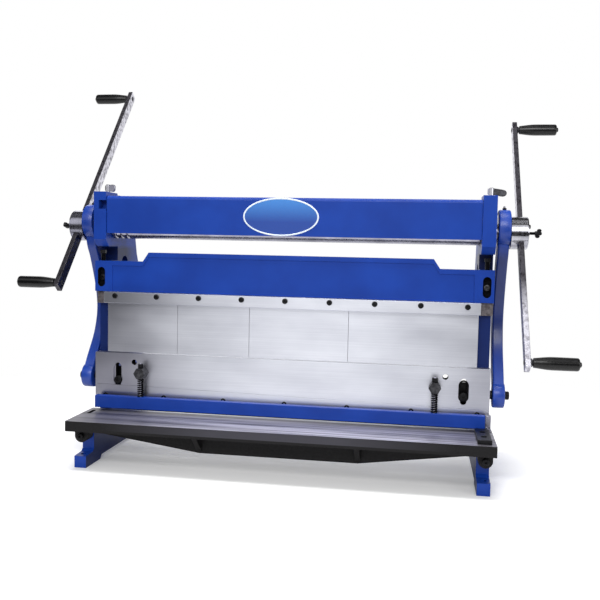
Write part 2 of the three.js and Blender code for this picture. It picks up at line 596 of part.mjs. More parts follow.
// The gears' pitch circles are nearly as wide as their rolls, so that both rolls run at one surface speed.
function gearSolid(boreR, pitchR, teeth, turnShare) {
  const shape = new THREE.Shape();
  for (let i = 0; i < teeth; i += 1) {
    const corners = [[pitchR - gears.root, -gears.rootShare / 2], [pitchR + gears.tip, -gears.tipShare / 2],
      [pitchR + gears.tip, gears.tipShare / 2], [pitchR - gears.root, gears.rootShare / 2]];
    for (const [r, share] of corners) {
      const turn = (i + turnShare + share) / teeth * Math.PI * 2;
      if (i === 0 && share === corners[0][1]) shape.moveTo(r * Math.cos(turn), r * Math.sin(turn));
      else shape.lineTo(r * Math.cos(turn), r * Math.sin(turn));
    }
  }
  return cut(prism('x', shape, 0, gears.thick), rod('x', boreR, -over, gears.thick + over, [0, 0], 24));
}

const crankGroup = new THREE.Group();
crankGroup.position.set(0, crank.y, crankZ);
machine.add(crankGroup);

const barX = hubOut - bar.outFromHub - bar.thick / 2;
const shaftEnd = barX - bar.thick / 2 - gap * 2;
const rollFace = half - crank.endGap;
const collarIn = housingOut + gap * 3;
const crankRoll = turnedSolid([[crank.shaftR, -shaftEnd, -armIns.left + gap * 3],
  [crank.collarR, -armIns.left + gap * 3, -collarIn], [crank.shaftR, -collarIn, -rollFace],
  ...rollSteps(crankRollR, true), [crank.shaftR, rollFace, collarIn],
  [crank.collarR, collarIn, armIns.right - gap * 3], [crank.shaftR, armIns.right - gap * 3, shaftEnd]], 24);
piece(crankGroup, 'crank_roll', crankRoll, brightSteel);
const crankGear = gearSolid(crank.shaftR + gap, crankPitchR, gears.crankTeeth, gears.crankTeeth / 4);
piece(crankGroup, 'crank_gear', crankGear, brightSteel, [gearIn, 0, 0]);

const leans = { left: crank.slotTurnLeft, right: crank.slotTurnRight };
const barUp = { left: bar.leftRise, right: -bar.rightDrop };

// A hub holds the eccentric for the arm on its inner end and is slotted across for the crank bar.
function hubSolid(s, armIn, lean) {
  const armOut = armIn + arm.thick;
  const disc = rod('x', crank.discR, s * (armIn - gap), s * (armOut + gap * 2), [0, crank.eccentric], 40);
  const barrel = rod('x', crank.hubR, s * (armOut + gap), s * hubOut, [0, 0], 36);
  const bore = rod('x', crank.shaftR + gap, s * (armIn - over), s * (shaftEnd + gap), [0, 0], 24);
  const reach = crank.hubR + over;
  const wide = bar.wide / 2 + gap;
  const thick = bar.thick / 2 + gap;
  const outline = [[-wide, -reach], [wide, -reach], [wide, reach], [-wide, reach]];
  const turned = outline.map(([y, z]) => [y * Math.cos(lean) + z * Math.sin(lean),
    -y * Math.sin(lean) + z * Math.cos(lean)]);
  const slot = prism('x', turned, s * (barX - thick), s * (barX + thick));
  const threads = rod('x', wing.r + gap, s * barX, s * (hubOut + over), [0, 0], 16);
  const endScrew = rod('x', crank.endScrewR, s * (hubOut - over), s * (hubOut + over * 1.5),
    [-crank.hubR * 0.6, crank.hubR * 0.38], 12);
  return join(cut(join(disc, barrel), bore, slot, threads), endScrew);
}

// A grip is a turned body on a spindle, thickest towards its outer end.
function gripSolid(s) {
  const g = grip;
  const profile = [[0, 0], [g.neckR, 0], [g.neckR + (g.bodyR - g.neckR) * 0.6, g.long * g.bodyShare / 2],
    [g.bodyR, g.long * g.bodyShare], [g.bodyR, g.long - g.cap], [g.bodyR - g.cap / 2, g.long],
    [g.noseR, g.long + g.nose / 2], [0, g.long + g.nose]];
  const lathe = new THREE.LatheGeometry(profile.map(([r, z]) => new THREE.Vector2(r, z)), 18);
  lathe.rotateZ(-s * Math.PI / 2);
  const bore = rod('x', bar.spindleR + run, 0 - s * over, s * g.long * 0.7, [0, 0], 16);
  return cut(solid(lathe), bore);
}

for (const [name, s] of sides) {
  const lean = leans[name] * Math.PI / 180;
  piece(crankGroup, `${name}_hub`, hubSolid(s, armIns[name], lean), brightSteel);
  const tip = barX + bar.thick / 2 + gap * 2;
  const headIn = hubOut + wing.out;
  let wingSolid = rod('x', wing.r, s * tip, s * (headIn + over), [0, 0], 16);
  wingSolid = join(wingSolid, rod('x', wing.rootR, s * headIn, s * (headIn + wing.headLong), [0, 0], 16));
  const lobes = [[-wing.headThick / 2, -wing.headR], [wing.headThick / 2, -wing.headR],
    [wing.headThick / 2, wing.headR], [-wing.headThick / 2, wing.headR]];
  wingSolid = join(wingSolid, prism('x', lobes, s * (headIn + over), s * (headIn + wing.headLong - over)));
  piece(crankGroup, `${name}_wing_screw`, wingSolid, blackSteel);

  const barGroup = new THREE.Group();
  barGroup.rotation.x = -lean;
  crankGroup.add(barGroup);
  const up = barUp[name];
  const middle = [barX - bar.thick / 2, barX + bar.thick / 2].map((x) => s * x).sort((a, b) => a - b);
  let barSolid = block(middle, [-bar.wide / 2, bar.wide / 2], [up - bar.long / 2, up + bar.long / 2]);
  const spindleIn = barX + bar.thick / 2;
  const ends = [['upper', 1], ['lower', -1]];
  for (const [, e] of ends) {
    const z = up + e * (bar.long / 2 - bar.inset);
    barSolid = join(barSolid,
      rod('x', grip.stubR, s * (spindleIn - over), s * (spindleIn + grip.stub), [0, z], 16),
      rod('x', bar.spindleR, s * spindleIn, s * (spindleIn + grip.stub + grip.long * 0.65), [0, z], 16),
      rod('x', bar.rivetR, s * (barX - bar.thick / 2 - bar.rivetTall), s * barX, [0, z], 16));
  }
  piece(barGroup, `${name}_crank_bar`, barSolid, brightSteel);
  for (const [end, e] of ends) {
    const z = up + e * (bar.long / 2 - bar.inset);
    piece(barGroup, `${name}_${end}_grip`, gripSolid(s), blackPlastic,
      [s * (spindleIn + grip.stub + gap), 0, z]);
  }
}

// Link arms: each hangs from its eccentric and bows back behind the frame's front, down to a
// bolt that faces the ram's end.

function armSolid() {
  const points = [new THREE.Vector2(0, 0)];
  armBowShares.forEach((share, i) => points.push(new THREE.Vector2(armBow[i], -share * (arm.low + crank.eccentric))));
  const small = new THREE.Vector2(arm.smallY - crank.y, -arm.low - crank.eccentric);
  points.push(small);
  const line = new THREE.SplineCurve(points);
  const count = 14;
  const front = [];
  const rear = [];
  for (let i = 0; i <= count; i += 1) {
    const p = line.getPoint(i / count);
    const t = line.getTangent(i / count);
    front.push([p.x + t.y * arm.width / 2, p.y - t.x * arm.width / 2]);
    rear.push([p.x - t.y * arm.width / 2, p.y + t.x * arm.width / 2]);
  }
  const outline = [...front, ...rear.reverse()];
  let body = join(prism('x', outline, 0, arm.thick), rod('x', arm.bossR, 0, arm.thick, [0, 0], 36),
    rod('x', arm.smallR, 0, arm.thick, [small.x, small.y], 24));
  body = cut(body, rod('x', crank.discR + run, -over, arm.thick + over, [0, 0], 32),
    rod('x', arm.boltR + gap, -over, arm.thick + over, [small.x, small.y], 20));
  return body;
}
const armForm = armSolid();
for (const [name, s] of sides) {
  const armIn = armIns[name];
  const armOut = armIn + arm.thick;
  const x = s > 0 ? armIn : -armOut;
  piece(crankGroup, `${name}_link_arm`, armForm, blueEnamel, [x, 0, crank.eccentric]);
  const boltTurned = turnedSolid([[arm.headR + gap, ramHalf + gap, armIn - gap], [arm.boltR, armIn - gap, armOut + gap],
    [arm.headR, armOut + gap, armOut + gap + arm.headTall]], 16);
  const bolt = cut(boltTurned, rod('x', arm.headR / 2, armOut + arm.headTall / 2, armOut + arm.headTall + over, [0, 0], 6));
  const linkBolt = piece(crankGroup, `${name}_link_bolt`, bolt, blackSteel, [0, arm.smallY - crank.y, -arm.low]);
  if (s < 0) linkBolt.rotation.z = Math.PI;
  const bushIn = s > 0 ? gearOut + gap * 4 : half + gap;
  const bush = cut(rod('x', crank.shaftR + run * 10, s * bushIn, s * (housingOut - gap), [0, 0], 24),
    rod('x', crank.shaftR + run, s * (bushIn - over), s * (housingOut + over), [0, 0], 24));
  piece(crankGroup, `${name}_shaft_bush`, bush, bronze);
}

// Upper roll with its sliding bearing blocks and the lock levers on top of the housings.

const upperGroup = new THREE.Group();
upperGroup.position.set(0, crank.y, upperZ);
machine.add(upperGroup);
function freeRoll(end, grooved) {
  return turnedSolid([[rolls.upperShaftR, -end, -rollFace], ...rollSteps(freeRollR, grooved),
    [rolls.upperShaftR, rollFace, end]], 24);
}
piece(upperGroup, 'upper_roll', freeRoll(housingOut - gap * 3, false), brightSteel);
const upperGear = gearSolid(rolls.upperShaftR + gap, upperPitchR, gears.upperTeeth, gears.upperTeeth * 0.75 + 0.5);
piece(upperGroup, 'upper_gear', upperGear, brightSteel, [gearIn, 0, 0]);

function leverSolid(s) {
  const foot = -(housingTop - upperZ - rolls.blockTall / 2 - rolls.lift) + run * 4;
  const post = rod('z', lever.r, foot, lever.tall, [0, 0], 16);
  const low = lever.tall - lever.paddleTall;
  const paddle = new THREE.Shape();
  paddle.moveTo(-lever.stubLong, low + lever.r);
  paddle.lineTo(lever.r, low + lever.r);
  paddle.lineTo(lever.paddleLong - lever.paddleTall / 2, low);
  paddle.absarc(lever.paddleLong - lever.paddleTall / 2, low + lever.paddleTall / 2, lever.paddleTall / 2,
    -Math.PI / 2, Math.PI / 3);
  paddle.lineTo(-lever.stubLong, lever.tall);
  const flat = prism('y', paddle, -lever.paddleThick / 2, lever.paddleThick / 2);
  return join(post, flat);
}

for (const [name, s] of sides) {
  const blockX = [s * blockIn, s * (housingOut - gap)].sort((a, b) => a - b);
  const halfWide = rolls.blockWide / 2;
  const bearing = cut(block(blockX, [-halfWide, halfWide], [-rolls.blockTall / 2, rolls.blockTall / 2]),
    rod('x', rolls.upperShaftR + run, s * (blockIn - over), s * (housingOut + over), [0, 0], 24));
  piece(upperGroup, `${name}_upper_bearing`, bearing, castIron);
  const turned = piece(machine, `${name}_lock_lever`, leverSolid(s), brightSteel,
    [s * (half + lever.x), lever.y, housingTop]);
  turned.rotation.z = THREE.MathUtils.degToRad(s > 0 ? lever.turnRight : lever.turnLeft);
}

// Rear roll with its lifting blocks, their studs and the knobs on the frames' shelves.

const rearGroup = new THREE.Group();
rearGroup.position.set(0, rearY, rearZ);
machine.add(rearGroup);
piece(rearGroup, 'rear_roll', freeRoll(plateOut - gap * 3, true), brightSteel);
const shelfZ = housingTop - frame.shelfDrop * 0.4;
for (const [name, s] of sides) {
  const x = s * (half + frame.thick / 2);
  const blockX = [s * (half + gap), s * (plateOut - gap)].sort((a, b) => a - b);
  const halfWide = rolls.rearBlockWide / 2;
  const top = shelfZ - rearZ + rolls.knobTall + over;
  const bearing = cut(join(block(blockX, [-halfWide, halfWide], [-rolls.blockTall / 2, rolls.blockTall / 2]),
    rod('z', rolls.studR, rolls.blockTall / 2 - over, top, [x, 0], 16)),
  rod('x', rolls.upperShaftR + run, s * (half - over), s * (plateOut + over), [0, 0], 24));
  piece(rearGroup, `${name}_rear_bearing`, bearing, castIron);
  const knob = cut(rod('z', rolls.knobR, gap, rolls.knobTall, [0, 0], 12),
    rod('z', rolls.studR + run, -over, rolls.knobTall + over, [0, 0], 16));
  piece(machine, `${name}_rear_knob`, knob, blackSteel, [x, rearY, shelfZ]);
}

// Front panel: a sheet cover over the rolls with a top flange and a bare oval badge.

function panelSolid() {
  const side = half - gap;
  const front = [-panel.front, -panel.front + panel.thick];
  const outline = [[-panel.front, 0], [-panel.front, panel.tall - panel.thick],
    [-panel.front + panel.thick, panel.tall], [-panel.front + panel.flange, panel.tall],
    [-panel.front + panel.flange, panel.tall - panel.thick],
    [front[1] + panel.thick / 2, panel.tall - panel.thick], [front[1], panel.tall - panel.thick * 1.5],
    [front[1], 0]];
  const oval = new THREE.Shape();
  oval.absellipse(panel.badgeX, panel.badgeRise, panel.badgeWide / 2, panel.badgeTall / 2, 0, Math.PI * 2);
  const plate = prism('x', outline, -side, side);
  const geometry = prism('y', oval, -panel.front - panel.badgeThick, -panel.front + panel.thick / 2);
  return join(plate, geometry);
}
piece(machine, 'front_panel', panelSolid(), blueEnamel, [0, 0, panelLow]);

// The origin is on the floor under the middle of the whole machine's box.
const box = new THREE.Box3().setFromObject(machine);
machine.position.set(0, -(box.min.y + box.max.y) / 2, -box.min.z);

export default machine;
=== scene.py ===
import bpy, bmesh, json, math
from mathutils import Matrix, Vector

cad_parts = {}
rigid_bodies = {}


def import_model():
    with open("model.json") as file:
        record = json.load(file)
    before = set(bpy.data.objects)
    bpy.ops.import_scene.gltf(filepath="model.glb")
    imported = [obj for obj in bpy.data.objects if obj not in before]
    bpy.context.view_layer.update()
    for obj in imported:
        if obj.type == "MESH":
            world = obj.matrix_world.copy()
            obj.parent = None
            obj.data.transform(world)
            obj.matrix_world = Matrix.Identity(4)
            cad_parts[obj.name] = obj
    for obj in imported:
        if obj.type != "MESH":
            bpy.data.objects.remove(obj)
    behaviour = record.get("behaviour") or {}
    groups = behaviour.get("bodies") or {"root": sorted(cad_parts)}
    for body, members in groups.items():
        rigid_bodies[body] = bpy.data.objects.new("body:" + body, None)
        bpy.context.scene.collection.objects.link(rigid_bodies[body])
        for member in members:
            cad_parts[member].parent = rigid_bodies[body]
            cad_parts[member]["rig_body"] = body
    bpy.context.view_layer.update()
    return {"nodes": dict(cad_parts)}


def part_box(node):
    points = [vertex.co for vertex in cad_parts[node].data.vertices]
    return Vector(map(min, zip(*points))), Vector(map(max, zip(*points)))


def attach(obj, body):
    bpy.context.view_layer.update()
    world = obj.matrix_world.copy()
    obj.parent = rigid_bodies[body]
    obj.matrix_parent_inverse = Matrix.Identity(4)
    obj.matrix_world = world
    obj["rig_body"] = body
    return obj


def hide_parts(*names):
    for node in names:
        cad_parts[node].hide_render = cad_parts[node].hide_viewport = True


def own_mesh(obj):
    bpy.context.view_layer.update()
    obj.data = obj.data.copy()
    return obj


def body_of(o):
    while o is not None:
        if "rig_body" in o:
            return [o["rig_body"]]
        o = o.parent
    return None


# Bench shear, finger brake and slip roll. Metres, +X to the right of the person who stands at
# the table, +Y away from them, +Z up.
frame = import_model()
print("frame loaded")

mm = 0.001
skin = 0.04 * mm            # left between a lining and its wall
sides = (("left", -1), ("right", 1))


def inMetres(sizes):
    # the same sizes in metres, also inside lists and dictionaries
    if isinstance(sizes, dict):
        return {key: inMetres(value) for key, value in sizes.items()}
    return [inMetres(value) for value in sizes] if isinstance(sizes, (list, tuple)) else sizes * mm


def linearFromHex(code, alpha=1.0):
    values = [int(code[i:i + 2], 16) / 255 for i in (1, 3, 5)]
    return [v / 12.92 if v <= 0.04045 else ((v + 0.055) / 1.055) ** 2.4 for v in values] + [alpha]


def addNode(tree, kind, settings=None, links=None):
    node = tree.nodes.new(kind)
    for key, value in (settings or {}).items():
        if isinstance(key, int) or key in node.inputs:
            node.inputs[key].default_value = value
        else:
            setattr(node, key, value)
    for key, source in (links or {}).items():
        tree.links.new(source, node.inputs[key])
    return node


def combine(tree, operation, *sources):
    # a math node; numbers are set on it and the rest is linked
    numbers = {k: source for k, source in enumerate(sources) if isinstance(source, float)}
    links = {k: source for k, source in enumerate(sources) if not isinstance(source, float)}
    return addNode(tree, "ShaderNodeMath", {"operation": operation, **numbers}, links).outputs[0]


def axesOf(tree, vector):
    return addNode(tree, "ShaderNodeSeparateXYZ", {}, {"Vector": vector}).outputs


def facingOf(tree):
    return axesOf(tree, addNode(tree, "ShaderNodeNewGeometry").outputs["True Normal"])


def mixColours(tree, low, high, factor):
    mix = addNode(tree, "ShaderNodeMix", {"data_type": "RGBA"}, {"Factor": factor})
    for socket, value in ((6, low), (7, high)):
        if isinstance(value, str):
            mix.inputs[socket].default_value = linearFromHex(value)
        else:
            tree.links.new(value, mix.inputs[socket])
    return mix.outputs[2]


def rangeOf(tree, source, fromLow, fromHigh, toLow=0.0, toHigh=1.0):
    return addNode(tree, "ShaderNodeMapRange", {"From Min": fromLow, "From Max": fromHigh,
                   "To Min": toLow, "To Max": toHigh}, {"Value": source}).outputs["Result"]


def grainAt(tree, place, sizes, detail=3.0):
    # noise whose grains have this size in metres, one for all axes or one for each
    sizes = [sizes] * 3 if isinstance(sizes, float) else sizes
    spread = addNode(tree, "ShaderNodeMapping", {"Scale": [1 / size for size in sizes]}, {"Vector": place})
    return addNode(tree, "ShaderNodeTexNoise", {"Scale": 1.0, "Detail": detail},
                   {"Vector": spread.outputs["Vector"]}).outputs["Fac"]


def startMaterial(name, shader):
    material = bpy.data.materials.new(name)
    material.use_nodes = True
    tree = material.node_tree
    tree.nodes.clear()
    output = tree.nodes.new("ShaderNodeOutputMaterial")
    body = addNode(tree, "ShaderNodeBsdfPrincipled", shader)
    tree.links.new(body.outputs["BSDF"], output.inputs["Surface"])
    place = addNode(tree, "ShaderNodeTexCoord").outputs["Object"]
    return material, tree, body, place


def dressShader(tree, body, colour, roughness, height, made):
    # depth is the relief's real depth, for materials that have one; strength may be a pattern too
    tree.links.new(colour, body.inputs["Base Color"])
    tree.links.new(roughness, body.inputs["Roughness"])
    if "depth" in made:
        fixed = isinstance(made["strength"], float)
        settings, links = {"Distance": made["depth"]}, {"Height": height}
        (settings if fixed else links)["Strength"] = made["strength"]
        bump = addNode(tree, "ShaderNodeBump", settings, links)
        tree.links.new(bump.outputs["Normal"], body.inputs["Normal"])


def roughnessOf(tree, source, made):
    # spread is how far the roughness moves where the pattern is dark and where it is light
    return rangeOf(tree, source, 0.3, 0.7, *(made["roughness"] + change for change in made["spread"]))


# Stoving enamel on sand-cast iron: a deep blue that lies over the casting's grain, so its
# highlights are soft and slightly uneven. The link arms are glossier.
castEnamel = {"colour": "#143d9a", "shade": "#11368d", "blend": (0.35, 0.65), "roughness": 0.36,
              "spread": (-0.04, 0.07), "castGrain": 2.2 * mm, "cloud": 90 * mm, "depth": 0.12 * mm,
              "strength": 0.35}
# Painted shade: the enamel is darkened where the frame and arms lie in shade, on the inner faces of
# the legs, the strips beside the fingers, the jack screws' pockets and the middle of the arms. Each is
# its low and high edge in z, and how far it darkens. Its ends fade over edge, or over 40 mm on the
# arms, and the left arm has only a share of it. The strips and pockets fade out behind the front.
paintedShade = {"colour": "#0c1330", "edge": 9 * mm, "legs": (-20 * mm, 92 * mm, 0.82),
             "strips": (200 * mm, 345 * mm, 0.74), "pockets": (405 * mm, 446 * mm, 0.8),
             "behind": (20 * mm, 90 * mm), "arms": (235 * mm, 470 * mm, 0.6, 40 * mm), "leftArm": 0.3}


def bandOf(tree, height, low, high, share, edge=paintedShade["edge"]):
    rise = rangeOf(tree, height, low, low + edge)
    fall = rangeOf(tree, height, high - edge, high, share, 0.0)
    return combine(tree, "MULTIPLY", rise, fall)


def makeCastEnamel(name, specular, coat, paintedShadeOn=None):
    made, shadeBands = castEnamel, paintedShade
    material, tree, body, place = startMaterial(name, {
        "Metallic": 0.0, "IOR": 1.5, "Specular IOR Level": specular, "Coat Weight": coat,
        "Coat Roughness": 0.12})
    cloud = grainAt(tree, place, made["cloud"])
    grain = grainAt(tree, place, made["castGrain"])
    colour = mixColours(tree, made["shade"], made["colour"], rangeOf(tree, cloud, *made["blend"]))
    at = axesOf(tree, place)
    masks = []
    if paintedShadeOn == "arm":
        masks = [combine(tree, "MULTIPLY", bandOf(tree, at["Z"], *shadeBands["arms"]),
                         rangeOf(tree, at["X"], -0.1, 0.1, shadeBands["leftArm"], 1.0))]
    if paintedShadeOn == "frame":
        facing = facingOf(tree)
        inward = combine(tree, "MULTIPLY", at["X"], facing["X"])
        # the outer and rear faces get no painted shade
        notOut = combine(tree, "MULTIPLY", rangeOf(tree, inward, 0.1, 0.3, 1.0, 0.0),
                         rangeOf(tree, facing["Y"], 0.2, 0.4, 1.0, 0.0))
        near = combine(tree, "MULTIPLY", notOut, rangeOf(tree, at["Y"], *shadeBands["behind"], 1.0, 0.0))
        masks = [combine(tree, "MULTIPLY", bandOf(tree, at["Z"], *shadeBands[kind]), where) for kind, where in (
            ("legs", rangeOf(tree, inward, -0.1, -0.3)), ("strips", near), ("pockets", near))]
    for mask in masks:
        colour = mixColours(tree, colour, shadeBands["colour"], mask)
    dressShader(tree, body, colour, roughnessOf(tree, grain, made), grain, made)
    return material


# Surface-ground tool steel: pale grey with fine lines along the grinder's travel. The real lines
# are 0.1 mm apart, and are drawn coarser so that they show. The ends are darker, as painted shade,
# the plate's more than the fingers': left and right are where the painted shade starts and ends in x, and its
# share.
groundSteel = {"colour": "#d6d8e0", "shade": "#c0c2cc", "lineShare": 0.45, "blend": (0.5, 0.95),
               "roughness": 0.34, "spread": (-0.05, 0.05), "lineGap": 1.1 * mm,
               "lineLength": 260 * mm, "depth": 0.02 * mm, "strength": 0.3, "cloudLong": 500 / 3 * mm,
               "cloudTall": 500 / 7 * mm, "endShade": "#8b8a97", "left": (-340 * mm, -190 * mm, 0.85),
               "right": (290 * mm, 400 * mm, 0.45), "plateTop": 219 * mm, "fingerShare": 0.45}


def endsOf(tree, x, made):
    left, right = made["left"], made["right"]
    return (rangeOf(tree, x, left[0], left[1], left[2], 0.0),
            rangeOf(tree, x, right[0], right[1], 0.0, right[2]))


def makeGroundSteel():
    made = groundSteel
    material, tree, body, place = startMaterial("groundToolSteel", {"Metallic": 1.0})
    lines = grainAt(tree, place, (made["lineLength"], made["lineGap"], made["lineGap"]), 2.0)
    cloud = grainAt(tree, place, (made["cloudLong"], made["cloudTall"], made["cloudTall"]))
    blend = combine(tree, "MULTIPLY_ADD", lines, made["lineShare"], cloud)
    colour = mixColours(tree, made["shade"], made["colour"], rangeOf(tree, blend, *made["blend"]))
    at = axesOf(tree, place)
    # painted shade: darker towards both ends
    ends = combine(tree, "MAXIMUM", *endsOf(tree, at["X"], made))
    below = rangeOf(tree, at["Z"], made["plateTop"], made["plateTop"] + 1 * mm, 1.0, made["fingerShare"])
    colour = mixColours(tree, colour, made["endShade"], combine(tree, "MULTIPLY", ends, below))
    dressShader(tree, body, colour, roughnessOf(tree, cloud, made), lines, made)
    return material


# Grey cast iron: ground bright on its top, near black and rough where it is left as cast. The
# top's ends are darkened as painted shade, and the front edge is lighter towards the middle.
tableIron = {"ground": "#55535d", "worn": "#c4c1cb", "asCast": "#0b0a0c", "asCastLight": "#1b1a1c",
             "lineGap": 3.5 * mm, "lineLength": 300 * mm, "lineBlend": (0.36, 0.58), "sandGrain": 1.8 * mm,
             "sandBlend": (0.45, 0.75), "depth": 0.25 * mm, "strength": (0.6, 0.04),
             "roughness": (0.62, 0.42), "metal": (0.0, 0.8), "endShade": "#24232a",
             "left": (-430 * mm, -90 * mm, 0.72), "right": (290 * mm, 430 * mm, 0.4), "edgeMiddle": "#39383f",
             "edgeMiddleFrom": 340 * mm, "edgeMiddleTo": 120 * mm, "edgeFrom": 84 * mm}


def makeTableIron():
    made = tableIron
    material, tree, body, place = startMaterial("groundCastIron", {"Specular IOR Level": 0.2})
    isTop = rangeOf(tree, facingOf(tree)["Z"], 0.9, 0.95)
    lines = grainAt(tree, place, (made["lineLength"], made["lineGap"], made["lineGap"]))
    grain = grainAt(tree, place, made["sandGrain"], 4.0)
    top = mixColours(tree, made["ground"], made["worn"], rangeOf(tree, lines, *made["lineBlend"]))
    side = mixColours(tree, made["asCast"], made["asCastLight"], rangeOf(tree, grain, *made["sandBlend"]))
    at = axesOf(tree, place)
    # painted shade at both ends of the top
    for mask in endsOf(tree, at["X"], made):
        top = mixColours(tree, top, made["endShade"], mask)
    # the front edge is lighter towards the middle
    away = combine(tree, "ABSOLUTE", at["X"])
    edgeMiddle = combine(tree, "MULTIPLY", rangeOf(tree, away, made["edgeMiddleFrom"], made["edgeMiddleTo"]),
                     rangeOf(tree, at["Z"], made["edgeFrom"], made["edgeFrom"] + 1 * mm))
    side = mixColours(tree, side, made["edgeMiddle"], edgeMiddle)
    metal, roughness, strength = (rangeOf(tree, isTop, 0.0, 1.0, *made[k])
                                  for k in ("metal", "roughness", "strength"))
    tree.links.new(metal, body.inputs["Metallic"])
    colour = mixColours(tree, side, top, isTop)
    dressShader(tree, body, colour, roughness, grain, made | {"strength": strength})
    return material


# Turned steel: bright, with the faint rings that a lathe tool leaves round it. The right hub is also
# polished, so that the room shows in it as sharp light and dark bands; the left hub has the rolls'
# darker steel, as painted shade.
turnedSteel = {"feed": 1.2 * mm, "streak": 250 / 3 * mm, "cloud": 100 / 3 * mm, "blend": (0.3, 0.65),
               "spread": (-0.05, 0.05), "depth": 0.015 * mm, "strength": 0.25,
               "rolls": {"colour": "#9c9caa", "shade": "#7b7b88", "roughness": 0.24},
               "hubs": {"colour": "#bfbfc6", "shade": "#9d9da6", "roughness": 0.15}}


def makeTurnedSteel(name, kind):
    made = turnedSteel | turnedSteel[kind]
    material, tree, body, place = startMaterial(name, {"Metallic": 1.0})
    rings = grainAt(tree, place, (made["feed"], made["streak"], made["streak"]), 2.0)
    cloud = grainAt(tree, place, made["cloud"])
    colour = mixColours(tree, made["shade"], made["colour"], rangeOf(tree, cloud, *made["blend"]))
    dressShader(tree, body, colour, roughnessOf(tree, rings, made), rings, made)
    return material


# Cold-drawn steel bar: satin, with darker patches of scale and oil that make it look mottled. The
# right bar's lower end and both bars' sides above the rolls are painted lighter, as painted light.
drawnBar = {"colour": "#57555b", "scale": "#211f22", "litColour": "#dddce6", "litScale": "#85838a",
            "fleckShare": 0.35, "blend": (0.5, 0.76), "roughness": (0.44, 0.3), "patch": 9 * mm,
            "fleck": 1.6 * mm, "depth": 0.04 * mm, "strength": 0.4,
            "litBelow": 335 * mm, "unlitAbove": 400 * mm, "sideFrom": 480 * mm, "sideAbove": 500 * mm}


def makeDrawnBar():
    made = drawnBar
    material, tree, body, place = startMaterial("coldDrawnBar", {"Metallic": 1.0})
    patch = grainAt(tree, place, made["patch"], 5.0)
    fleck = grainAt(tree, place, made["fleck"])
    share = rangeOf(tree, combine(tree, "MULTIPLY_ADD", fleck, made["fleckShare"], patch), *made["blend"])
    at = axesOf(tree, place)
    onSide = combine(tree, "ABSOLUTE", facingOf(tree)["X"])
    # painted light on the right bar's lower end and on the side faces above the rolls
    foot = combine(tree, "MULTIPLY", rangeOf(tree, at["Z"], made["unlitAbove"], made["litBelow"]),
                   rangeOf(tree, at["X"], -0.1, 0.1))
    side = combine(tree, "MULTIPLY", rangeOf(tree, at["Z"], made["sideFrom"], made["sideAbove"]),
                   rangeOf(tree, onSide, 0.8, 0.9))
    colour = mixColours(tree, mixColours(tree, made["scale"], made["colour"], share),
                        mixColours(tree, made["litScale"], made["litColour"], share),
                        combine(tree, "MAXIMUM", foot, side))
    dressShader(tree, body, colour, rangeOf(tree, patch, 0.35, 0.65, *made["roughness"]), fleck, made)
    return material


# The other metals and the grips have a single grain each.
# Black oxide on machined steel: near black with a dull oily shine.
blackOxide = {"colour": "#1b1b1e", "shade": "#0d0d0f", "roughness": 0.36, "grain": 2.5 * mm,
              "blend": (0.35, 0.65), "spread": (-0.08, 0.1)}
# Phosphated steel: dark grey and matt, lighter where a spanner has rubbed it.
phosphatedSteel = {"colour": "#4a4a4e", "shade": "#2c2c2f", "roughness": 0.44, "grain": 5 * mm,
                   "blend": (0.35, 0.65), "spread": (0.08, -0.06)}
# The end blocks are only oiled, so they are lighter and a little brown.
oiledSteel = {"colour": "#716c6f", "shade": "#4d484b", "roughness": 0.48, "grain": 7 * mm,
              "blend": (0.35, 0.65), "spread": (0.08, -0.06)}
# Moulded phenolic: black, smooth and hard, so that one soft highlight runs along each grip.
blackPhenolic = {"colour": "#0b0b0c", "shade": "#060607", "roughness": 0.27, "grain": 0.9 * mm,
                 "blend": (0.0, 1.0), "spread": (-0.04, 0.06), "strength": 0.2, "depth": 0.02 * mm}
# Bearing bronze: warm, dull and a little stained by oil.
bearingBronze = {"colour": "#9a7846", "shade": "#6f5430", "roughness": 0.38, "grain": 6 * mm,
                 "blend": (0.3, 0.7), "spread": (0.1, 0.0)}


def makeGrained(name, made, shader):
    material, tree, body, place = startMaterial(name, shader)
    grain = grainAt(tree, place, made["grain"])
    colour = mixColours(tree, made["shade"], made["colour"], rangeOf(tree, grain, *made["blend"]))
    dressShader(tree, body, colour, roughnessOf(tree, grain, made), grain, made)
    return material


# Glass enamel fired on a thin plate, for the bare oval badge: very smooth, and its deep field
# is painted lighter towards the top, as a painted highlight.
badgeEnamel = {"field": "#123f95", "fieldHighlight": "#3f86d2", "rim": "#e4edf6", "rimShade": "#cfdcec",
               "highlightFrom": 498 * mm, "highlightTo": 546 * mm, "cloud": 500 / 7 * mm}


def makeBadgeEnamel(name, low, high, paintedHighlight):
    made = badgeEnamel
    material, tree, body, place = startMaterial(name, {
        "Metallic": 0.0, "IOR": 1.5, "Coat Weight": 0.3, "Coat Roughness": 0.05, "Roughness": 0.2,
        "Specular IOR Level": 0.35})
    if paintedHighlight:
        # painted highlight: the field grows lighter towards the top
        fade = rangeOf(tree, axesOf(tree, place)["Z"], made["highlightFrom"], made["highlightTo"])
    else:
        fade = rangeOf(tree, grainAt(tree, place, made["cloud"]), 0.35, 0.65)
    tree.links.new(mixColours(tree, low, high, fade), body.inputs["Base Color"])
    return material


blue = makeCastEnamel("blueStovingEnamel", 0.15, 0.05)
# blue with painted shade on the legs' inner faces, beside the fingers and in the pockets
shadedBlue = makeCastEnamel("shadedBlueEnamel", 0.15, 0.05, "frame")
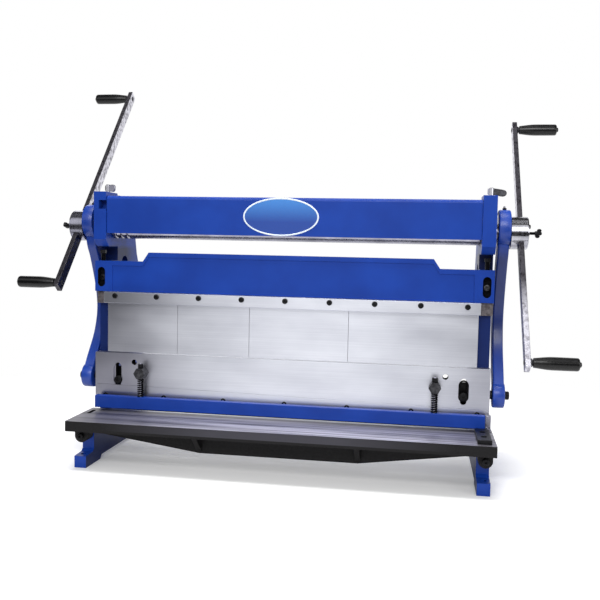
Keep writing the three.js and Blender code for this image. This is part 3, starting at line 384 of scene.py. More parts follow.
# the arms' glossier blue, with painted shade across their middle
glossShadedBlue = makeCastEnamel("glossShadedBlueEnamel", 0.4, 0.2, "arm")
ground = makeGroundSteel()
iron = makeTableIron()
turned = makeTurnedSteel("turnedSteel", "rolls")
polished = makeTurnedSteel("polishedSteel", "hubs")
drawn = makeDrawnBar()
black = makeGrained("blackOxideSteel", blackOxide, {"Metallic": 0.7, "Specular IOR Level": 0.4})
# matt black without shine: painted shade in the slots and holes, and the springs' black wire
mattBlackAndShade = makeGrained("mattBlackPaintedShade", blackOxide, {"Metallic": 0.0, "Specular IOR Level": 0.0})
phosphated = makeGrained("phosphatedSteel", phosphatedSteel, {"Metallic": 0.85})
oiled = makeGrained("oiledSteel", oiledSteel, {"Metallic": 0.85})
phenolic = makeGrained("mouldedPhenolic", blackPhenolic, {
    "Metallic": 0.0, "IOR": 1.52, "Specular IOR Level": 0.3, "Coat Weight": 0.12, "Coat Roughness": 0.1})
bronze = makeGrained("bearingBronze", bearingBronze, {"Metallic": 1.0})
badgeField = makeBadgeEnamel("badgeFieldEnamel", badgeEnamel["field"], badgeEnamel["fieldHighlight"], True)
badgeRim = makeBadgeEnamel("badgeRimEnamel", badgeEnamel["rimShade"], badgeEnamel["rim"], False)
print("materials made")


def addObject(name, data):
    thing = bpy.data.objects.new(name, data)
    bpy.context.scene.collection.objects.link(thing)
    return thing


def addPiece(name, mesh, material, body, nodes=(), slotName=None, *edge):
    # edge is what roundEdges gets, for a piece with rounded edges
    piece = addObject(name, mesh)
    mesh.materials.clear()
    mesh.materials.append(material)
    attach(piece, body)
    if nodes:
        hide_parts(*nodes)
    if edge:
        roundEdges(piece, *edge)
    return piece


def boxOf(node):
    low, high = (Vector(v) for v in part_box(node))
    return low, high, (low + high) / 2


def smoothByAngle(mesh, degrees=32.0):
    work = bmesh.new()
    work.from_mesh(mesh)
    limit = math.radians(degrees)
    for face in work.faces:
        face.smooth = True
    for edge in work.edges:
        edge.smooth = len(edge.link_faces) == 2 and edge.calc_face_angle(0.0) < limit
    work.to_mesh(mesh)
    work.free()


def meshFrom(work, name, degrees=32.0):
    bmesh.ops.recalc_face_normals(work, faces=work.faces)
    mesh = bpy.data.meshes.new(name)
    work.to_mesh(mesh)
    work.free()
    smoothByAngle(mesh, degrees)
    return mesh


def bakedMesh(thing):
    graph = bpy.context.evaluated_depsgraph_get()
    return bpy.data.meshes.new_from_object(thing.evaluated_get(graph), depsgraph=graph)


def roundEdges(piece, width, segments=2, degrees=30.0):
    # rounds the edges with Bevel, keeps the flats flat, and applies both
    bevel = piece.modifiers.new("roundedEdges", "BEVEL")
    bevel.width = width
    bevel.segments = segments
    bevel.limit_method = "ANGLE"
    bevel.angle_limit = math.radians(degrees)
    bevel.harden_normals = False
    weighted = piece.modifiers.new("flatFaces", "WEIGHTED_NORMAL")
    weighted.keep_sharp = True
    made = bakedMesh(piece)
    piece.modifiers.clear()
    piece.data = made


def dressNode(node, material, width):
    # the same solid as the frame's own, with its flats joined up and its edges rounded
    work = bmesh.new()
    work.from_mesh(frame["nodes"][node].data)
    bmesh.ops.remove_doubles(work, verts=work.verts, dist=0.002 * mm)
    bmesh.ops.dissolve_limit(work, angle_limit=math.radians(0.6), verts=work.verts, edges=work.edges)
    mesh = bpy.data.meshes.new(node + "Shape")
    for face in work.faces:
        face.smooth = True
    work.to_mesh(mesh)
    work.free()
    body = body_of(frame["nodes"][node])[0]
    addPiece(node + "_dressed", mesh, material, body, [node], None, width)


def turnedMesh(name, profile, segments, along, sign, at):
    # profile is [radius, place along the axis]; ends on the axis are closed
    work = bmesh.new()
    rings = []
    for radius, step in profile:
        circle = ringOf(0, 0, radius, segments) if radius > 1e-7 else [(0, 0)]
        rings.append([work.verts.new((u, v, step)) for u, v in circle])
    for low, high in zip(rings, rings[1:]):
        for k in range(segments):
            n = (k + 1) % segments
            if len(low) == 1 and len(high) == 1:
                continue
            if len(low) == 1:
                work.faces.new((low[0], high[k], high[n]))
            elif len(high) == 1:
                work.faces.new((low[k], high[0], low[n]))
            else:
                work.faces.new((low[k], high[k], high[n], low[n]))
    lay = {"x": Matrix.Rotation(math.pi / 2, 4, "Y"), "y": Matrix.Rotation(-math.pi / 2, 4, "X"),
           "z": Matrix.Identity(4)}[along]
    place = Matrix.Translation(Vector(at)) @ lay
    if sign < 0:
        place = place @ Matrix.Rotation(math.pi, 4, "X")
    work.transform(place)
    return meshFrom(work, name)


def prismMesh(name, outline, low, high, along="x"):
    # outline is [y, z] across x, [x, z] across y or [x, y] across z
    place = {"x": lambda u, v, w: (w, u, v), "y": lambda u, v, w: (u, w, v),
             "z": lambda u, v, w: (u, v, w)}[along]
    work = bmesh.new()
    first = [work.verts.new(place(u, v, low)) for u, v in outline]
    last = [work.verts.new(place(u, v, high)) for u, v in outline]
    work.faces.new(first)
    work.faces.new(list(reversed(last)))
    for k in range(len(outline)):
        n = (k + 1) % len(outline)
        work.faces.new((first[k], last[k], last[n], first[n]))
    return meshFrom(work, name)


def skinMesh(name, rings, joined=False, caps=(), degrees=32.0):
    # a skin over rings of points; joined leads the last ring back to the first
    work = bmesh.new()
    loops = [[work.verts.new(p) for p in ring] for ring in rings]
    for a, b in zip(loops, loops[1:] + (loops[:1] if joined else [])):
        for k in range(len(a)):
            n = (k + 1) % len(a)
            work.faces.new((a[k], b[k], b[n], a[n]))
    for k in caps:
        work.faces.new(loops[k])
    return meshFrom(work, name, degrees)


def joinMeshes(name, meshes):
    work = bmesh.new()
    for mesh in meshes:
        work.from_mesh(mesh)
    joined = bpy.data.meshes.new(name)
    work.to_mesh(joined)
    work.free()
    return joined


def cutMesh(mesh, cutters, name):
    # an exact boolean, applied, then smoothed again by angle
    base = addObject("cutBase", mesh)
    tools = [addObject("cutTool", cutter) for cutter in cutters]
    for tool in tools:
        step = base.modifiers.new("cut", "BOOLEAN")
        step.operation = "DIFFERENCE"
        step.solver = "EXACT"
        step.object = tool
    made = bakedMesh(base)
    made.name = name
    for thing in tools + [base]:
        bpy.data.objects.remove(thing)
    smoothByAngle(made)
    return made


def ringOf(u, v, r, count=6, phase=0.0):
    turns = [2 * math.pi * k / count + phase for k in range(count)]
    return [(u + r * math.cos(t), v + r * math.sin(t)) for t in turns]


def rectangle(low, high):
    return [(low[0], low[1]), (high[0], low[1]), (high[0], high[1]), (low[0], high[1])]


def rodMesh(name, r, low, high, segments, along, sign, at):
    return turnedMesh(name, [(0, low), (r, low), (r, high), (0, high)], segments, along, sign, at)


def placed(profile, start):
    # a profile's radii and steps, with the steps counted from start
    return [(r, start + step) for r, step in profile]


# Castings and plates keep the frame's shape. Castings get wide soft edges, machined plates thin ones.
edgeWidths = inMetres({"casting": 1.6, "plate": 0.5, "block": 0.9, "small": 0.35})
sideNodes = (("side_frame", shadedBlue, "casting"), ("end_block", oiled, "block"),
             ("upper_bearing", iron, "block"), ("rear_bearing", iron, "small"),
             ("shaft_bush", bronze, "small"), ("hold_down_stud", phosphated, "block"))
dressed = [(f"{side}_{node}", material, edge) for side, s in sides for node, material, edge in sideNodes]
dressed += [("brake_beam", blue, "casting"), ("table", iron, "casting"), ("lower_blade", ground, "small"),
            ("ram_plate", ground, "plate"), ("upper_blade", ground, "small")]
dressed += [(f"finger_{name}", ground, "small")
            for name in ("far_left", "mid_left", "mid_right", "far_right")]
dressed += [(f"{name}_gear", turned, "small") for name in ("crank", "upper")]
for node, material, edge in dressed:
    dressNode(node, material, edgeWidths[edge])
print("castings and plates dressed")

# Front panel: a bent sheet with a rounded upper bend, and a bare oval badge. The badge's two pieces
# are rings, each so far inside the oval's edge and so far in front of the sheet.
panelShape = inMetres({"bend": 7, "thick": 3, "edge": 0.6, "badgeThick": 1.6, "badgeWide": 154,
                       "badgeTall": 76.4, "badgeX": -13, "badgeRise": 38.4,
                       "badge_rim": [(0, -0.5), (0, 1.05), (0.5, 1.5), (2.8, 1.5), (3.2, 1.05)],
                       "badge_field": [(3.1, -0.5), (3.1, 1.05), (15.2, 1.29), (29.2, 1.425)]}) | {
    "steps": 10, "badgeSteps": 96}


def makePanel():
    made = panelShape
    low, high, _ = boxOf("front_panel")
    front, bend, thick = low.y + made["badgeThick"], made["bend"], made["thick"]
    outer, inner = [(front, low.z)], [(front + thick, low.z)]
    for k in range(made["steps"] + 1):
        turn = math.pi - k / made["steps"] * math.pi / 2
        for line, r in ((outer, bend), (inner, bend - thick)):
            line.append((front + bend + r * math.cos(turn), high.z - bend + r * math.sin(turn)))
    outer.append((high.y, high.z))
    inner.append((high.y, high.z - thick))
    mesh = prismMesh("panelSheet", outer + list(reversed(inner)), low.x, high.x)
    addPiece("front_panel_sheet", mesh, blue, "frame", ["front_panel"], "blue_enamel", made["edge"])

    def oval(inset, forward):
        wide, tall = made["badgeWide"] / 2 - inset, made["badgeTall"] / 2 - inset
        return [(made["badgeX"] + wide * u, front - forward, low.z + made["badgeRise"] + tall * v)
                for u, v in ringOf(0, 0, 1, made["badgeSteps"])]

    for name, material, caps in (("badge_rim", badgeRim, ()), ("badge_field", badgeField, (-1,))):
        mesh = skinMesh(name, [oval(*ring) for ring in made[name]], caps=caps, degrees=50)
        addPiece(name, mesh, material, "frame", (), "blue_enamel")


makePanel()
print("panel made")

# Rolls: turned bars with a small chamfer. The lower and rear ones have three grooves for wired edges.
rollShape = inMetres({"crankR": 25.6, "freeR": 16.9, "face": 379.5, "chamfer": 0.8, "grooveR": 2.6,
                      "pitch": 12.8, "inset": 8.2, "upperShaft": 10, "crankShaft": 12.5, "collar": 18,
                      "collarIn": 408.4, "collarOut": {"left": 416.1, "right": 412.1}}) | {"count": 3}


def rollProfile(r, grooved):
    made = rollShape
    c = made["chamfer"]
    steps = [(r - c, -made["face"]), (r, -made["face"] + c)]
    for i in range(made["count"] if grooved else 0):
        middle = -made["face"] + made["inset"] + i * made["pitch"]
        for k in range(9):
            turn = math.pi * k / 8
            steps.append((r - made["grooveR"] * math.sin(turn), middle - made["grooveR"] * math.cos(turn)))
    return steps + [(r, made["face"] - c), (r - c, made["face"])]


def collarProfile(a, b):
    r, c, shaft = rollShape["collar"], 1 * mm, rollShape["crankShaft"]
    return [(shaft, a), (r - c, a), (r, a + c), (r, b - c), (r - c, b), (shaft, b)]


def makeRoll(node, radius, shaft, grooved, collars=False):
    made = rollShape
    low, high, middle = boxOf(node)
    c = made["chamfer"]
    profile = [(0, low.x), (shaft - c, low.x), (shaft, low.x + c)]
    if collars:
        profile += collarProfile(-made["collarOut"]["left"], -made["collarIn"])
    profile += [(shaft, -made["face"])] + rollProfile(radius, grooved) + [(shaft, made["face"])]
    if collars:
        profile += collarProfile(made["collarIn"], made["collarOut"]["right"])
    profile += [(shaft, high.x - c), (shaft - c, high.x), (0, high.x)]
    mesh = turnedMesh(node + "Bar", profile, 96, "x", 1, (0, middle.y, middle.z))
    addPiece(node + "_turned", mesh, turned, body_of(frame["nodes"][node])[0], [node])


makeRoll("crank_roll", rollShape["crankR"], rollShape["crankShaft"], True, True)
makeRoll("upper_roll", rollShape["freeR"], rollShape["upperShaft"], False)
makeRoll("rear_roll", rollShape["freeR"], rollShape["upperShaft"], True)

# Rear tie bar: a black round bar between the legs, with thinner ends in them.
tieShape = inMetres({"r": 14, "chamfer": 0.8, "endR": 9, "endChamfer": 0.6, "shoulder": 380.7})


def makeTieBar():
    made = tieShape
    low, high, middle = boxOf("rear_tie_bar")
    r, c, endR, e, shoulder = (made[k] for k in ("r", "chamfer", "endR", "endChamfer", "shoulder"))
    profile = [(0, low.x), (endR - e, low.x), (endR, low.x + e), (endR, -shoulder), (r - c, -shoulder),
               (r, c - shoulder), (r, shoulder - c), (r - c, shoulder), (endR, shoulder), (endR, high.x - e),
               (endR - e, high.x), (0, high.x)]
    mesh = turnedMesh("tieBar", profile, 64, "x", 1, (0, middle.y, middle.z))
    addPiece("rear_tie_bar_turned", mesh, black, "frame", ["rear_tie_bar"])


makeTieBar()
print("rolls turned")

# Socket cap screws: a head with a rounded edge and a hexagon socket, on a plain shank.
capScrews = inMetres({"strip": {"headR": 5.5, "tall": 3.6, "socketR": 2.9, "deep": 2.2},
                      "beam": {"headR": 6.2, "tall": 7, "socketR": 3.2, "deep": 3.6},
                      "table": {"headR": 6.5, "tall": 8, "socketR": 3.2, "deep": 4},
                      "clip": {"headR": 8.4, "tall": 5, "socketR": 3.6, "deep": 2.6},
                      "blade": {"headR": 5.2, "tall": 2.4, "socketR": 2.5, "deep": 1.6}})
shankR = inMetres({"beam": 4.5, "table": 4, "clip": 5.6})


def capScrewMesh(name, kind, at, shank=0.0):
    size = capScrews[kind]
    r, tall, edge = size["headR"], size["tall"], min(0.9 * mm, size["tall"] * 0.3)
    profile = [(0, -shank)] + ([(shankR[kind], -shank), (shankR[kind], 0)] if shank else [])
    profile += [(r, 0), (r, tall - edge), (r - edge * 0.35, tall - edge * 0.35), (r - edge, tall), (0, tall)]
    head = turnedMesh(name, profile, 48, "y", -1, at)
    socket = prismMesh(name + "Socket", ringOf(at[0], at[2], size["socketR"]), at[1] - tall - 1 * mm,
                       at[1] - tall + size["deep"], "y")
    return cutMesh(head, [socket], name)


stripShape = inMetres({"front": 4, "pitch": 89.6, "rise": 15.114}) | {"count": 9}
stripLow, stripHigh, _ = boxOf("clamp_strip")
stripFront = stripLow.y + stripShape["front"]
stripOutline = rectangle((stripFront, stripLow.z), (stripHigh.y, stripHigh.z))
addPiece("clamp_strip_bar", prismMesh("stripBar", stripOutline, stripLow.x, stripHigh.x), ground, "beam",
         ["clamp_strip"], "ground_steel", edgeWidths["plate"])
for i in range(stripShape["count"]):
    at = ((i - (stripShape["count"] - 1) / 2) * stripShape["pitch"], stripFront,
          stripLow.z + stripShape["rise"])
    addPiece(f"clamp_strip_screw_{i + 1}", capScrewMesh(f"stripScrew{i}", "strip", at), black, "beam", (),
             "black_steel")

for side, s in sides:
    for kind in ("beam", "table"):
        node = f"{side}_{kind}_bolt"
        low, high, middle = boxOf(node)
        seat = low.y + capScrews[kind]["tall"]
        mesh = capScrewMesh(node + "Turned", kind, (middle.x, seat, middle.z), high.y - seat)
        # the right beam bolt is lighter phosphated steel, as a painted highlight; the others are black
        addPiece(node + "_cap", mesh, phosphated if node == "right_beam_bolt" else black, "frame", [node])

# Upper blade: a level row of black socket screws.
bladeRow = inMetres({"pitch": 128, "z": 129, "deep": 1.5}) | {"count": 7}
for i in range(bladeRow["count"]):
    at = ((i - (bladeRow["count"] - 1) / 2) * bladeRow["pitch"], boxOf("upper_blade")[0].y + bladeRow["deep"],
          bladeRow["z"])
    addPiece(f"blade_screw_{i + 1}", capScrewMesh(f"bladeScrew{i}", "blade", at), black, "ram", (),
             "black_steel")


# Slots and holes: each gets a thin matt black lining, painted shade for the dark inside of their walls.
def slotOutline(x, low, high, r, steps=14):
    turns = [math.pi * k / steps for k in range(steps + 1)]
    return ([(x + r * math.cos(t), high - r + r * math.sin(t)) for t in turns] +
            [(x - r * math.cos(t), low + r - r * math.sin(t)) for t in turns])


def liningMesh(name, x, low, high, r, front, back, ledge=None):
    # a thin tube along the wall of a slot; ledge is the low, high and radius of a narrower slot at its back
    wall = 0.25 * mm
    rings = [(slotOutline(x, low, high, r), front), (slotOutline(x, low, high, r), back)]
    if ledge:
        rings += [(slotOutline(x, *ledge), back), (slotOutline(x, *ledge), back - wall)]
    inner = slotOutline(x, low + wall, high - wall, r - wall)
    rings += [(inner, back - wall if ledge else back), (inner, front)]
    return skinMesh(name, [[(u, y, v) for u, v in ring] for ring, y in rings], True)


ramSlots = inMetres({"x": 356.8, "low": 146.6, "high": 198.5, "r": 6.25, "stepLow": 151.9,
                     "stepHigh": 195.2, "stepR": 10, "stepDeep": 3, "stepInset": 3, "plate": 20,
                     "holeX": 321, "holeZ": 200.5, "holeR": 5.8, "screwZ": 162.1, "clip": 8})
beamSlots = inMetres({"x": 394.3, "low": 358, "long": 40.9, "r": 8, "deep": 12, "screwR": 4.9}) | {
    "screwShare": 0.48}
pocketWeb = inMetres({"in": 403.9, "out": 405.4, "front": -64.6, "back": -30.9, "low": 412.5, "high": 441.8})
plateFront = boxOf("ram_plate")[0].y
beamFront = boxOf("brake_beam")[0].y


def makeRamLining(side, x, holeX):
    made = ramSlots
    front, back = plateFront + 0.1 * mm, plateFront + made["plate"] - 0.1 * mm
    ledge, inset = plateFront + made["stepDeep"], made["stepInset"]
    step = liningMesh("slotStep", x, made["stepLow"] + skin, made["stepHigh"] - skin, made["stepR"] - skin,
                      front, ledge - skin, (made["stepLow"] + inset, made["stepHigh"] - inset, made["r"]))
    wall = liningMesh("slotWall", x, made["low"] + skin, made["high"] - skin, made["r"] - skin, ledge, back)
    r = made["holeR"] - skin
    hole = liningMesh("holeWall", holeX, made["holeZ"] - r, made["holeZ"] + r, r, front, back)
    linings = [step, wall, hole] if side == "right" else [wall, hole]
    addPiece(f"{side}_ram_slot_lining", joinMeshes("ramSlotLining", linings), mattBlackAndShade, "ram", (),
             "black_steel")


def makeBeamLining(side, x):
    made = beamSlots
    low, high, back = made["low"] + skin, made["low"] + made["long"] - skin, beamFront + made["deep"]
    lining = liningMesh("beamSlotLining", x, low, high, made["r"] - skin, beamFront + 0.2 * mm, back - skin)
    plate = prismMesh("beamSlotPlate", slotOutline(x, low + skin, high - skin, made["r"] - 2 * skin),
                      back - 0.5 * mm, back - skin, "y")
    cut = rodMesh("plateHole", made["screwR"], beamFront, beamFront + 20 * mm, 32, "y", 1,
                  (x, 0, made["low"] + made["long"] * made["screwShare"]))
    mesh = joinMeshes("beamSlot", [lining, cutMesh(plate, [cut], "plateCut")])
    addPiece(f"{side}_beam_slot_lining", mesh, mattBlackAndShade, "beam", (), "black_steel")


def makePocketWeb(side, s):
    # closes the pocket over the beam's end on its outer side; the pockets band of painted shade makes it dark
    made = pocketWeb
    outline = rectangle((made["front"], made["low"]), (made["back"], made["high"]))
    web = prismMesh("pocketWeb", outline, *sorted((s * made["in"], s * made["out"])))
    addPiece(f"{side}_pocket_web", web, shadedBlue, "frame", (), "blue_enamel")


def makeGaugeClip(side, x):
    # a block behind the slot, held by a socket screw through it
    low, high, _ = boxOf(f"{side}_gauge_clip")
    blockFront = high.y - ramSlots["clip"]
    mesh = prismMesh("clipBlock", rectangle((low.x, low.z), (high.x, high.z)), blockFront, high.y, "y")
    addPiece(f"{side}_gauge_clip_block", mesh, black, "ram", [f"{side}_gauge_clip"], None,
             edgeWidths["block"])
    seat = low.y + capScrews["clip"]["tall"]
    screw = capScrewMesh("clipScrew", "clip", (x, seat, ramSlots["screwZ"]), blockFront - seat)
    addPiece(f"{side}_gauge_clip_screw", screw, black, "ram", (), "black_steel")


for side, s in sides:
    makeRamLining(side, s * ramSlots["x"], s * ramSlots["holeX"])
    makeBeamLining(side, s * beamSlots["x"])
    makePocketWeb(side, s)
    makeGaugeClip(side, s * ramSlots["x"])
print("screws made")

# Side gauge: a black bar with two holes, and a ground post behind the hold-down bar's end.
gaugeShape = inMetres({"tall": 8, "wide": 26, "barDeep": 93.3, "postWide": 11, "postDeep": 14, "holeR": 5.6,
                       "plugLow": 0.2, "plugTop": 1}) | {"holeShares": (0.3, 0.69)}


def makeSideGauge():
    made = gaugeShape
    low, high, _ = boxOf("side_gauge")
    barTop, barRight, barBack = low.z + made["tall"], low.x + made["wide"], low.y + made["barDeep"]
    bar = prismMesh("gaugeBar", rectangle((low.x, low.y), (barRight, barBack)), low.z, barTop, "z")
    middles = [((low.x + barRight) / 2, low.y + (barBack - low.y) * share, 0) for share in made["holeShares"]]
    holes = [rodMesh("gaugeHole", made["holeR"], low.z - 1 * mm, barTop + 1 * mm, 40, "z", 1, at)
             for at in middles]
    addPiece("side_gauge_bar", cutMesh(bar, holes, "gaugeBarCut"), black, "frame", ["side_gauge"], None,
             edgeWidths["block"])
    # dark discs low in the bar's holes: painted shade for the holes' dark bottoms
    plugs = [rodMesh("gaugePlug", made["holeR"] - 2 * skin, low.z + made["plugLow"],
                     low.z + made["plugTop"], 40, "z", 1, at) for at in middles]
    addPiece("side_gauge_hole_shade", joinMeshes("gaugePlugs", plugs), mattBlackAndShade, "frame", (), "black_steel")
    foot, start = high.y - made["postDeep"], barBack + skin
    outline = [(start, low.z), (high.y, low.z), (high.y, high.z), (foot, high.z), (foot, barTop),
               (start, barTop)]
    post = prismMesh("gaugePost", outline, high.x - made["postWide"], high.x)
    addPiece("side_gauge_post", post, turned, "frame", (), "ground_steel", edgeWidths["block"])


makeSideGauge()
print("side gauge made")

# Crank hubs: turned barrels, slotted for the bar, with the eccentric on the inner end.
hubShape = inMetres({"radius": 32, "outer": 470, "gap": 0.3, "throw": 9, "barThick": 10.6, "barWide": 23.6,
                     "bore": 12.8, "boreFrom": 400, "threadR": 3.3,
                     "barrelIn": [(0, 0), (31.4, 0), (32, 0.6)],
                     "barrelOut": [(32, -3.6), (31.3, -3.4), (31.3, -2.8), (32, -2.6), (32, -2.2),
                                   (31.34, -0.66), (29.8, 0), (0, 0)],
                     "discIn": [(0, -0.3), (26.5, -0.3), (27, 0.2)], "discOut": [(27, 0.2), (0, 0.2)],
                     "endScrew": [(0, -1), (4, -1), (4, 2.2), (3, 3), (0, 3)]}) | {
    "endY": -0.6, "endZ": 0.38}
armFaces = inMetres({"left": (417, 440.5), "right": (413, 436.5)})
leans = {"left": math.radians(40.7), "right": math.radians(38.0)}
axisMiddle = boxOf("crank_roll")[2]
axis = (0, axisMiddle.y, axisMiddle.z)
barPlace = 456 * mm


def tiltedBox(name, s, thick, wide, low, high, lean):
    corners = [(axisMiddle.y + y * math.cos(lean) + z * math.sin(lean),
                axisMiddle.z - y * math.sin(lean) + z * math.cos(lean))
               for y, z in rectangle((-wide / 2, low), (wide / 2, high))]
    return prismMesh(name, corners, *sorted((s * (barPlace - thick / 2), s * (barPlace + thick / 2))))


def makeHub(side, s):
    made = hubShape
    armIn, armOut = armFaces[side]
    outer, face, r = made["outer"], armOut + made["gap"], made["radius"]
    barrel = placed(made["barrelIn"], face) + placed(made["barrelOut"], outer)
    barrel = turnedMesh("barrel", barrel, 96, "x", s, axis)
    slot = tiltedBox("slot", s, made["barThick"], made["barWide"], -r * 1.2, r * 1.2, leans[side])
    cuts = [slot, rodMesh("bore", made["bore"], made["boreFrom"], barPlace, 64, "x", s, axis),
            rodMesh("threadHole", made["threadR"], barPlace, outer + 2 * mm, 32, "x", s, axis)]
    barrelCut = cutMesh(barrel, cuts, "barrelCut")
    disc = turnedMesh("disc", placed(made["discIn"], armIn) + placed(made["discOut"], face), 96, "x", s,
                      (0, axisMiddle.y, axisMiddle.z + made["throw"]))
    disc = cutMesh(disc, [rodMesh("discBore", made["bore"], made["boreFrom"], barPlace, 64, "x", s, axis)],
                   "discCut")
    # the left hub is the rolls' darker steel, as painted shade
    addPiece(f"{side}_hub_turned", joinMeshes("hub", [barrelCut, disc]),
             polished if side == "right" else turned, "crank", [f"{side}_hub"])
    screw = turnedMesh("endScrew", placed(made["endScrew"], outer), 32, "x", s,
                       (0, axisMiddle.y + r * made["endY"], axisMiddle.z + r * made["endZ"]))
    addPiece(f"{side}_hub_end_screw", screw, black, "crank", (), "black_steel")


def threadProfile(rootR, crestR, low, high, pitch):
    profile, at = [], low
    while at < high:
        profile += [(rootR, at), (crestR, at + pitch / 2)]
        at += pitch
    return [(0, low)] + profile + [(rootR, high)]


# Thumb screw: a threaded shank with two wings, seen edge on at the left and slantwise at the right.
wingShape = inMetres({"long": 13, "pitch": 1, "rootR": 2.6, "crestR": 3, "skew": {"left": 0, "right": 1.6},
                      "earOut": 6.5, "earUp": 5.6, "earWide": 4.3, "earTall": 3.4, "earThick": 1.7,
                      "head": [(4.4, -13), (4.6, -10), (3.6, -2), (2.2, 0), (0, 0)]}) | {
    "turn": {"left": 55, "right": 0}}


def makeWing(side, s):
    made = wingShape
    low, high, _ = boxOf(f"{side}_wing_screw")
    tip, end = sorted((abs(low.x), abs(high.x)))
    headIn = end - made["long"]
    thread = threadProfile(made["rootR"], made["crestR"], tip, headIn, made["pitch"])
    meshes = [turnedMesh("wingShank", thread + placed(made["head"], end), 32, "x", s, axis)]
    for e in (1, -1):
        x, z = headIn + made["earOut"] + e * made["skew"][side], e * made["earUp"]
        ear = [(s * (x + made["earWide"] * u), z + made["earTall"] * v) for u, v in ringOf(0, 0, 1, 18)]
        lobe = prismMesh("wing", ear, -made["earThick"], made["earThick"], "y")
        turn = math.radians(made["turn"][side])
        lobe.transform(Matrix.Translation(Vector(axis)) @ Matrix.Rotation(turn, 4, "X"))
        meshes.append(lobe)
    addPiece(f"{side}_wing_screw_turned", joinMeshes("wingScrew", meshes), black, f"{side}_wing",
             [f"{side}_wing_screw"])


for side, s in sides:
    makeHub(side, s)
    makeWing(side, s)
print("hubs made")

# Crank bars and grips. The grip's spindle is riveted through the bar's end.
barShape = inMetres({"long": 603, "wide": 23, "thick": 10, "inset": 13, "stub": 4.5,
                     "up": {"left": 133, "right": -2},
                     "rivet": [(0, -1.5), (2.2, -1.45), (4.2, -1.1), (5.5, -0.3), (5.5, 1), (0, 1)],
                     "spindle": [(0, -1), (7.5, -1), (7.5, 2.6), (6.7, 3.3), (5.6, 3.5), (5.6, 4.5),
                                 (0, 4.5)]})
gripShape = inMetres({"long": 78, "neckR": 8.8, "bodyR": 11.8, "gap": 0.3,
                      "neck": [(0, 0), (7.6, 0), (8.5, 0.5), (8.8, 1.6)], "swellFrom": 1.6, "swellLess": 5,
                      "taper": 0.5,
                      "tip": [(10.95, -1.6), (9.45, -0.4), (7.45, 0), (5.2, 0), (5, 1.2), (4.4, 2.6),
                              (3, 3.5), (0, 3.9)]}) | {"steps": 24}


def spindleMesh(s, centre):
    half = barShape["thick"] / 2
    faces = (("rivet", barPlace - half), ("spindle", barPlace + half))
    return joinMeshes("spindle", [turnedMesh(name, placed(barShape[name], face), 40, "x", s, centre)
                                  for name, face in faces])


def gripMesh(s, centre):
    g = gripShape
    start = barPlace + barShape["thick"] / 2 + barShape["stub"] + g["gap"]
    profile = placed(g["neck"], start)
    for k in range(1, g["steps"] + 1):
        share = k / g["steps"]
        swell = math.sin(min(1.0, share * 2.2) * math.pi / 2) ** 1.2
        profile.append((g["neckR"] + (g["bodyR"] - g["neckR"]) * swell - g["taper"] * max(0.0, share - 0.7),
                        start + g["swellFrom"] + share * (g["long"] - g["swellLess"])))
    return turnedMesh("grip", profile + placed(g["tip"], start + g["long"]), 64, "x", s, centre)


for side, s in sides:
    made = barShape
    lean, up = leans[side], made["up"][side]
    mesh = tiltedBox("bar", s, made["thick"], made["wide"], up - made["long"] / 2, up + made["long"] / 2,
                     lean)
    addPiece(f"{side}_crank_bar_drawn", mesh, drawn, f"{side}_bar", [f"{side}_crank_bar"], "bright_steel",
             edgeWidths["block"], 3)
    for end, e in (("upper", 1), ("lower", -1)):
        z = up + e * (made["long"] / 2 - made["inset"])
        centre = (0, axisMiddle.y + z * math.sin(lean), axisMiddle.z + z * math.cos(lean))
        addPiece(f"{side}_{end}_spindle", spindleMesh(s, centre), phosphated, f"{side}_bar", (),
                 "bright_steel")
        addPiece(f"{side}_{end}_grip_moulded", gripMesh(s, centre), phenolic, f"{side}_{end}_handle",
                 [f"{side}_{end}_grip"])
print("crank bars and grips made")

# Link arms: cast bows with a wide eccentric strap on top and a small boss at the bolt. The bow's
# points are shares of its height and millimetres to the back.
armShape = inMetres({"bossR": 36, "strapBore": 27.35, "smallR": 25, "boltBore": 8.3, "width": 40,
                     "low": 329, "back": -13, "chamfer": 3, "bandIn": 1, "bandOut": 1.5, "spacer": 407.5,
                     "gap": 0.3, "boltR": 8.5, "boltNeck": 8, "boltEnd": [(0, 0), (7.8, 0), (8.5, 0.7)],
                     "boltHead": [(8.2, 0), (8.2, 7.8), (7.6, 8.7), (6.8, 9), (0, 9)],
                     "boltSocket": (4.5, 11), "socketR": 4.1, "nippleR": 3.9, "nippleBase": (-2, 3.4),
                     "nipple": [(0, 3), (2.3, 3), (1.9, 4), (2.5, 4.9), (2.4, 6.4), (1.2, 7.2),
                                (0, 7.3)]}) | {"steps": 48}
bowShares = [(0.0, 0.0), (0.12, 6), (0.21, 23), (0.42, 52), (0.587, 60), (0.754, 43), (0.915, 5), (1.0, -13)]


def bowPoint(t):
    # a smooth line through the bow's points, the same one that the solid follows
    count = len(bowShares) - 1
    place = min(max(t, 0.0), 1.0) * count
    k = min(int(place), count - 1)
    w = place - k
    pts = [bowShares[min(max(k + d, 0), count)] for d in (-1, 0, 1, 2)]

    def blend(a, b, c, d):
        v0, v1 = (c - a) / 2, (d - b) / 2
        return (2 * b - 2 * c + v0 + v1) * w ** 3 + (-3 * b + 3 * c - 2 * v0 - v1) * w ** 2 + v0 * w + b

    return Vector((blend(*[p[1] for p in pts]) * mm, -blend(*[p[0] for p in pts]) * armShape["low"]))


def bossMesh(name, bore, r, side, s, segments, y, z):
    a, b, c = *armFaces[side], armShape["chamfer"]
    profile = [(bore, a), (r - c, a), (r - c * 0.3, a + c * 0.3), (r, a + c), (r, b - c),
               (r - c * 0.3, b - c * 0.3), (r - c, b), (bore, b), (bore, a)]
    return turnedMesh(name, profile, segments, "x", s, (0, y, z))


